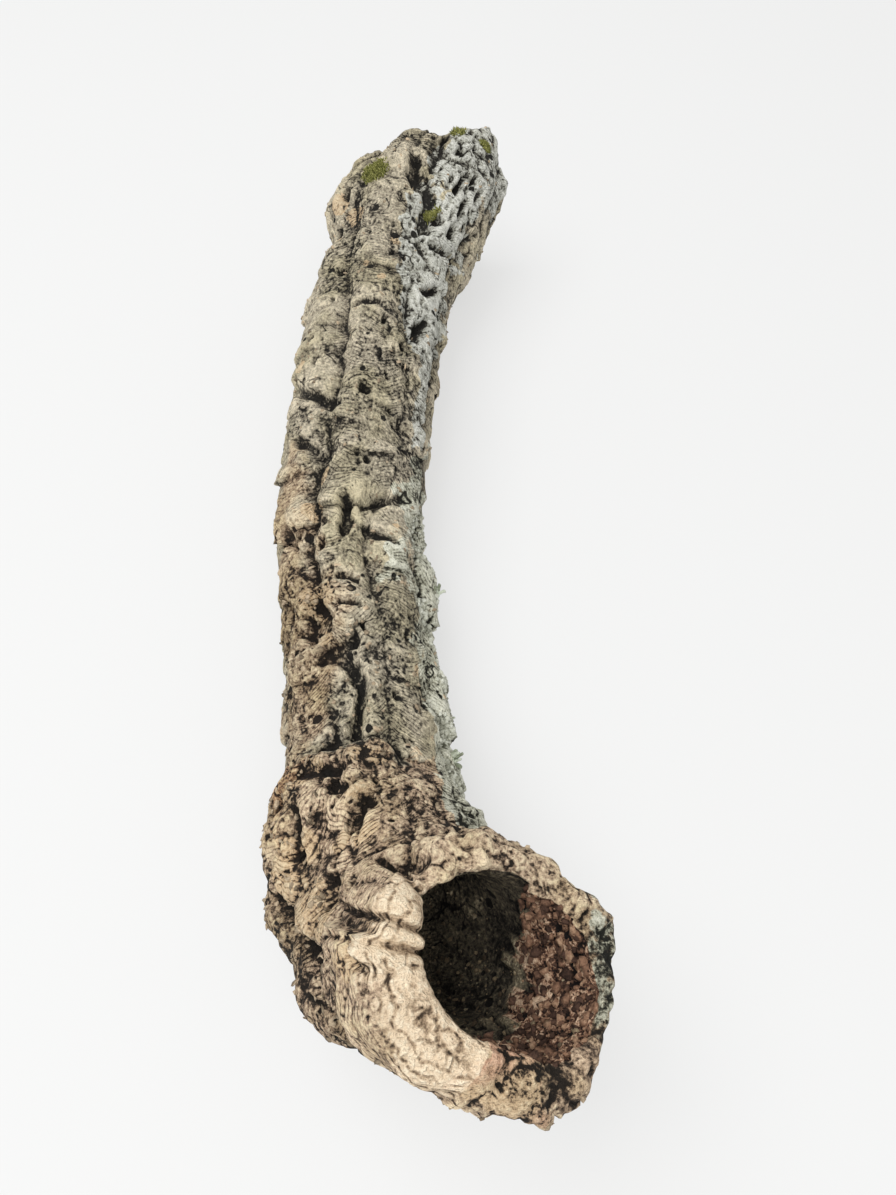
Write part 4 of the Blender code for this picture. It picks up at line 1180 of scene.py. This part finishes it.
GRANULES = 2400
draw = np.random.default_rng(11)
edge = near(BARK_TURN, 176, 26, 0)
bands = np.exp(-(((BARK_S - 0.268) / 0.012) ** 2)) + 1.1 * np.exp(-(((BARK_S - 0.325) / 0.022) ** 2))
bands += 0.35 * np.exp(-(((BARK_S - 0.285) / 0.05) ** 2))
patchy = np.clip(0.3 + 2.2 * noise(BARK_POINTS, 0.010, 97), 0, 1)
place, normal, down = spots(OUTSIDE * edge * bands * patchy, GRANULES, draw)
size = 0.0004 + 0.0010 * draw.random((GRANULES, 1)) ** 2 * np.array([1, 1, 0.9])
form, faces = ringed([(0, -0.6), (1.0, 0.0), (0.75, 0.6), (0, 0.9)], 5)
granules = scattered("lichen_granules", form, faces, place, normal, down, size, draw, 0.3, 0.5)
granules.data.materials.append(toned("dry_lichen", [
    (0.25, 0.10, 0.10, 0.070), (0.40, 0.38, 0.38, 0.30), (0.55, 0.66, 0.66, 0.55), (0.85, 0.80, 0.81, 0.72),
], 0.0012))
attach(granules, "root")


# The leafy lichen: three small tufts of stubby, rounded, pale green-grey fingers on the right edge.
# The fingers of a tuft are soft, and spread from one place where they grow out of the bark.
# Each row holds s, phi, the longest finger's length and how many there are.
SPRIGS = [(0.2605, 181, 0.0042, 9), (0.3325, 171, 0.0060, 8), (0.318, 174, 0.0030, 6)]
FINGER_SIDES = 8
FINGER_RINGS = 9


def fingers(rows, draw):
    """Rounded tubes along bent paths: a half-circle profile at the tip, and a ripple along the length."""
    t = np.linspace(0, 1, FINGER_RINGS)
    turn = 2 * np.pi * np.arange(FINGER_SIDES) / FINGER_SIDES
    points, faces, tones = [], [], []
    start = 0
    for base, heading, length, radius in rows:
        bend = draw.normal(size=3)
        bend -= bend.dot(heading) * heading
        bend /= np.linalg.norm(bend)
        other = np.cross(heading, bend)
        path = base + length * (t[:, None] * heading + 0.35 * t[:, None] ** 2 * bend)
        width = radius * np.sqrt(np.clip(1 - ((t - 0.55) / 0.62) ** 4, 0, 1))
        width *= 1 + 0.15 * np.sin(11 * t + 5 * draw.random())
        ring = np.cos(turn)[:, None] * bend + np.sin(turn)[:, None] * other
        tube = path[:, None] + width[:, None, None] * ring
        points += [tube.reshape(-1, 3), path[:1] - 0.3 * radius * heading, path[-1:] + 0.35 * radius * heading]
        i, j = np.meshgrid(np.arange(FINGER_RINGS - 1), np.arange(FINGER_SIDES), indexing="ij")
        a, b = i * FINGER_SIDES + j, i * FINGER_SIDES + (j + 1) % FINGER_SIDES
        c, d = a + FINGER_SIDES, b + FINGER_SIDES
        last = (FINGER_RINGS - 1) * FINGER_SIDES
        k = np.arange(FINGER_SIDES)
        m = (k + 1) % FINGER_SIDES
        count = FINGER_RINGS * FINGER_SIDES
        faces += [start + np.stack([a, b, d], -1).reshape(-1, 3), start + np.stack([a, d, c], -1).reshape(-1, 3)]
        tip = 0 * k + count + 1
        faces += [start + np.stack([m, k, 0 * k + count], -1), start + np.stack([last + k, last + m, tip], -1)]
        tones += [np.full(count + 2, draw.random())]
        start += count + 2
    return np.concatenate(points), np.concatenate(faces), np.concatenate(tones)


draw = np.random.default_rng(12)
rows = []
for sprig_s, sprig_phi, length, count in SPRIGS:
    away = np.hypot(BARK_S - sprig_s, turned_by(BARK_PHI, sprig_phi) * SKIN_RADIUS)
    nearest = np.argmin(away + (1 - OUTSIDE))
    base, out = BARK_POINTS.reshape(-1, 3)[nearest], BARK_NORMAL.reshape(-1, 3)[nearest]
    out = out + np.array([0.5, 0.1, 0.5])
    out /= np.linalg.norm(out)
    for n in range(count):
        heading = out + 0.55 * draw.normal(size=3)
        heading /= np.linalg.norm(heading)
        long = length * (1.0 if n == 0 else draw.uniform(0.35, 0.8))
        rows.append((base + 0.0006 * draw.normal(size=3) - 0.0008 * out, heading, long, draw.uniform(0.0005, 0.0010)))
points, faces, tones = fingers(rows, draw)
sprigs = shown("leafy_lichen", new_mesh("leafy_lichen", points, faces, {"tone": tones}))
sprigs.data.materials.append(toned("leafy_lichen_skin", [
    (0.25, 0.22, 0.24, 0.16), (0.50, 0.46, 0.50, 0.38), (0.80, 0.68, 0.72, 0.60),
], 0.0010))
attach(sprigs, "root")


# The moss: four low yellow-green cushions near the far end, each of hundreds of short soft leaves.
# They grow in the bark's hollows and stand a few millimetres high.
BLADES = 520
draw = np.random.default_rng(13)
places, normals, downs = [], [], []
for tuft_s, tuft_phi, spread in TUFTS:
    from_tuft = np.hypot(BARK_S - tuft_s, turned_by(BARK_PHI, tuft_phi) * SKIN_RADIUS) / spread
    found = spots(OUTSIDE * np.clip(1 - from_tuft, 0, 1) ** 0.7, int(BLADES * spread / 0.0045), draw)
    for kept, new in zip((places, normals, downs), found):
        kept.append(new)
place, normal, down = [np.concatenate(kept) for kept in (places, normals, downs)]
size = np.array([0.00024, 0.00024, 0.0015]) * draw.uniform(0.6, 1.3, (len(place), 1))
form, faces = ringed([(0, -0.2), (1.0, 0.0), (0.9, 0.55), (0, 1.0)], 3)
moss = scattered("moss", form, faces, place, normal, down, size, draw, 0.3, 0.9)
moss.data.materials.append(toned("moss_leaf", [
    (0.25, 0.075, 0.080, 0.018), (0.50, 0.27, 0.275, 0.075), (0.80, 0.52, 0.50, 0.18),
], 0.0010))
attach(moss, "root")


# The loose scales: thin chips of cork that lie on the bark and stick up along its lips and edges.
# They are the torn outer skin of the bark itself, still held at one end.
SCALES = 1200
draw = np.random.default_rng(14)
ridges = np.clip(-BARK_MARKS["sunk"] - 0.1, 0, 1) + 0.12
likely = OUTSIDE * ridges * (0.5 + BARK_MARKS["gritty"] + 0.8 * BARK_MARKS["warm"]) * (1 - 0.6 * BARK_MARKS["crust"])
likely *= 1 - 0.8 * np.maximum(BARK_MARKS["green"], BARK_MARKS["lobed"])
place, normal, down = spots(likely, SCALES, draw)
size = draw.uniform(0.5, 1.0, (SCALES, 3)) * np.array([0.0015, 0.0009, 0.0004]) * draw.uniform(0.5, 1.3, (SCALES, 1))
form, faces = ringed([(0, -0.8), (0.9, -0.7), (1.0, 0.5), (0, 0.8)], 6)
scales = scattered("cork_scales", form, faces, place, normal, down, size, draw, 0.35, 0.7)
scales.data.materials.append(toned("cork_scale", [
    (0.22, 0.12, 0.090, 0.060), (0.45, 0.38, 0.300, 0.205), (0.65, 0.58, 0.455, 0.315), (0.90, 0.82, 0.64, 0.43),
], 0.0014))
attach(scales, "root")


# The chunks: red-brown lumps of decayed cork that make up the crumbly wall inside the mouth.
# They still hang together with the wall, and are rough and dull.
CHUNKS = 700
draw = np.random.default_rng(16)
place, normal, down = spots(BARK_MARKS["crumbly"] * step(-0.026, 0.010, -BARK_DEEP), CHUNKS, draw)
size = 0.0004 + 0.0017 * draw.random((CHUNKS, 1)) ** 3 * np.array([1, 0.8, 0.7])
form, faces = ringed([(0, -0.6), (1.0, 0.0), (0.75, 0.6), (0, 0.9)], 5)
chunks = scattered("crumbly_chunks", form, faces, place, normal, down, size, draw, 0.5, 0.6)
chunks.data.materials.append(toned("decayed_cork", [
    (0.22, 0.020, 0.011, 0.008), (0.45, 0.100, 0.055, 0.038), (0.65, 0.270, 0.150, 0.092), (0.90, 0.66, 0.45, 0.29),
], 0.0012))
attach(chunks, "root")


# The crumbs: grains of broken cork and dry litter that have fallen into the hollow and lie on its floor.
# They are tan to cream, a few of them long like seeds.
CRUMBS = 420
draw = np.random.default_rng(15)
floor_side = near(BARK_TURN, 275, 75, 0) ** 0.5
inside = BARK_MARKS["bore"] * floor_side * step(0.375, 0.03, BARK_S) * (1 - 0.5 * BARK_MARKS["crumbly"])
place, normal, down = spots(inside, CRUMBS, draw)
long = draw.random(CRUMBS) < 0.12
size = 0.00030 + 0.0007 * draw.random((CRUMBS, 1)) ** 3 * np.ones(3)
size[long] *= np.array([2.4, 0.8, 0.8])
form, faces = ringed([(0, -0.5), (1.0, 0.0), (0.8, 0.6), (0, 0.9)], 5)
crumbs = scattered("bore_crumbs", form, faces, place, normal, down, size, draw, 0.35, 0.4)
crumbs.data.materials.append(toned("dry_crumb", [
    (0.22, 0.05, 0.036, 0.024), (0.45, 0.15, 0.110, 0.070), (0.65, 0.36, 0.275, 0.170), (0.88, 0.80, 0.72, 0.52),
], 0.0010))
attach(crumbs, "root")


# The floor: a smooth, white, faintly glowing light table under everything, far wider than the view.
# It is only a stage for the picture, not part of the object.
FLOOR_HALF = 3.0
corners = FLOOR_HALF * np.array([(-1, -1, 0), (1, -1, 0), (1, 1, 0), (-1, 1, 0)])
floor = shown("floor", new_mesh("floor", corners, [(0, 1, 2, 3)], {}))
material, tree, shader = blank_material("pale_floor")
shader.inputs["Base Color"].default_value = (0.22, 0.222, 0.222, 1)
shader.inputs["Emission Color"].default_value = (1.0, 1.0, 0.995, 1)
shader.inputs["Emission Strength"].default_value = 0.60
shader.inputs["Roughness"].default_value = 0.7
floor.data.materials.append(material)


# The light: a bright, even room, a wide soft box above on the left that gives the bark its soft shadows, and a
# weaker one above the mouth that lights its wall.
scene = bpy.context.scene
world = bpy.data.worlds.new("studio")
scene.world = world
world.use_nodes = True
world.node_tree.nodes["Background"].inputs["Color"].default_value = (1.0, 1.0, 0.99, 1)
world.node_tree.nodes["Background"].inputs["Strength"].default_value = 0.64


def soft_box(name, at, towards, size, power):
    """A square area light at a place, turned towards another."""
    light = bpy.data.lights.new(name, "AREA")
    light.shape = "SQUARE"
    light.size = size
    light.energy = power
    lamp = shown(name, light)
    lamp.location = at
    aim = np.array(towards) - at
    lamp.rotation_euler = (np.arctan2(np.hypot(aim[0], aim[1]), -aim[2]), 0, np.arctan2(-aim[0], aim[1]))


soft_box("key_light", (-0.55, 0.10, 1.35), (0, 0, 0), 1.1, 12.5)
soft_box("fill_light", (0.05, -0.75, 1.05), (0, -0.15, 0), 0.8, 5.5)
scene.view_settings.view_transform = "Standard"

# The camera: a hand-held picture from above the mouth, looking steeply down along the tube
CAMERA_AT = (0.013767, -0.230924, 0.33622)
CAMERA_DOWN = 58        # degrees under level
CAMERA_LENS = 27.2
camera = shown("camera", bpy.data.cameras.new("camera"))
camera.location = CAMERA_AT
camera.rotation_euler = (np.radians(90 - CAMERA_DOWN), 0, 0)
camera.data.lens = CAMERA_LENS
camera.data.sensor_width = 36
camera.data.clip_start = 0.01
scene.camera = camera

bpy.context.view_layer.update()
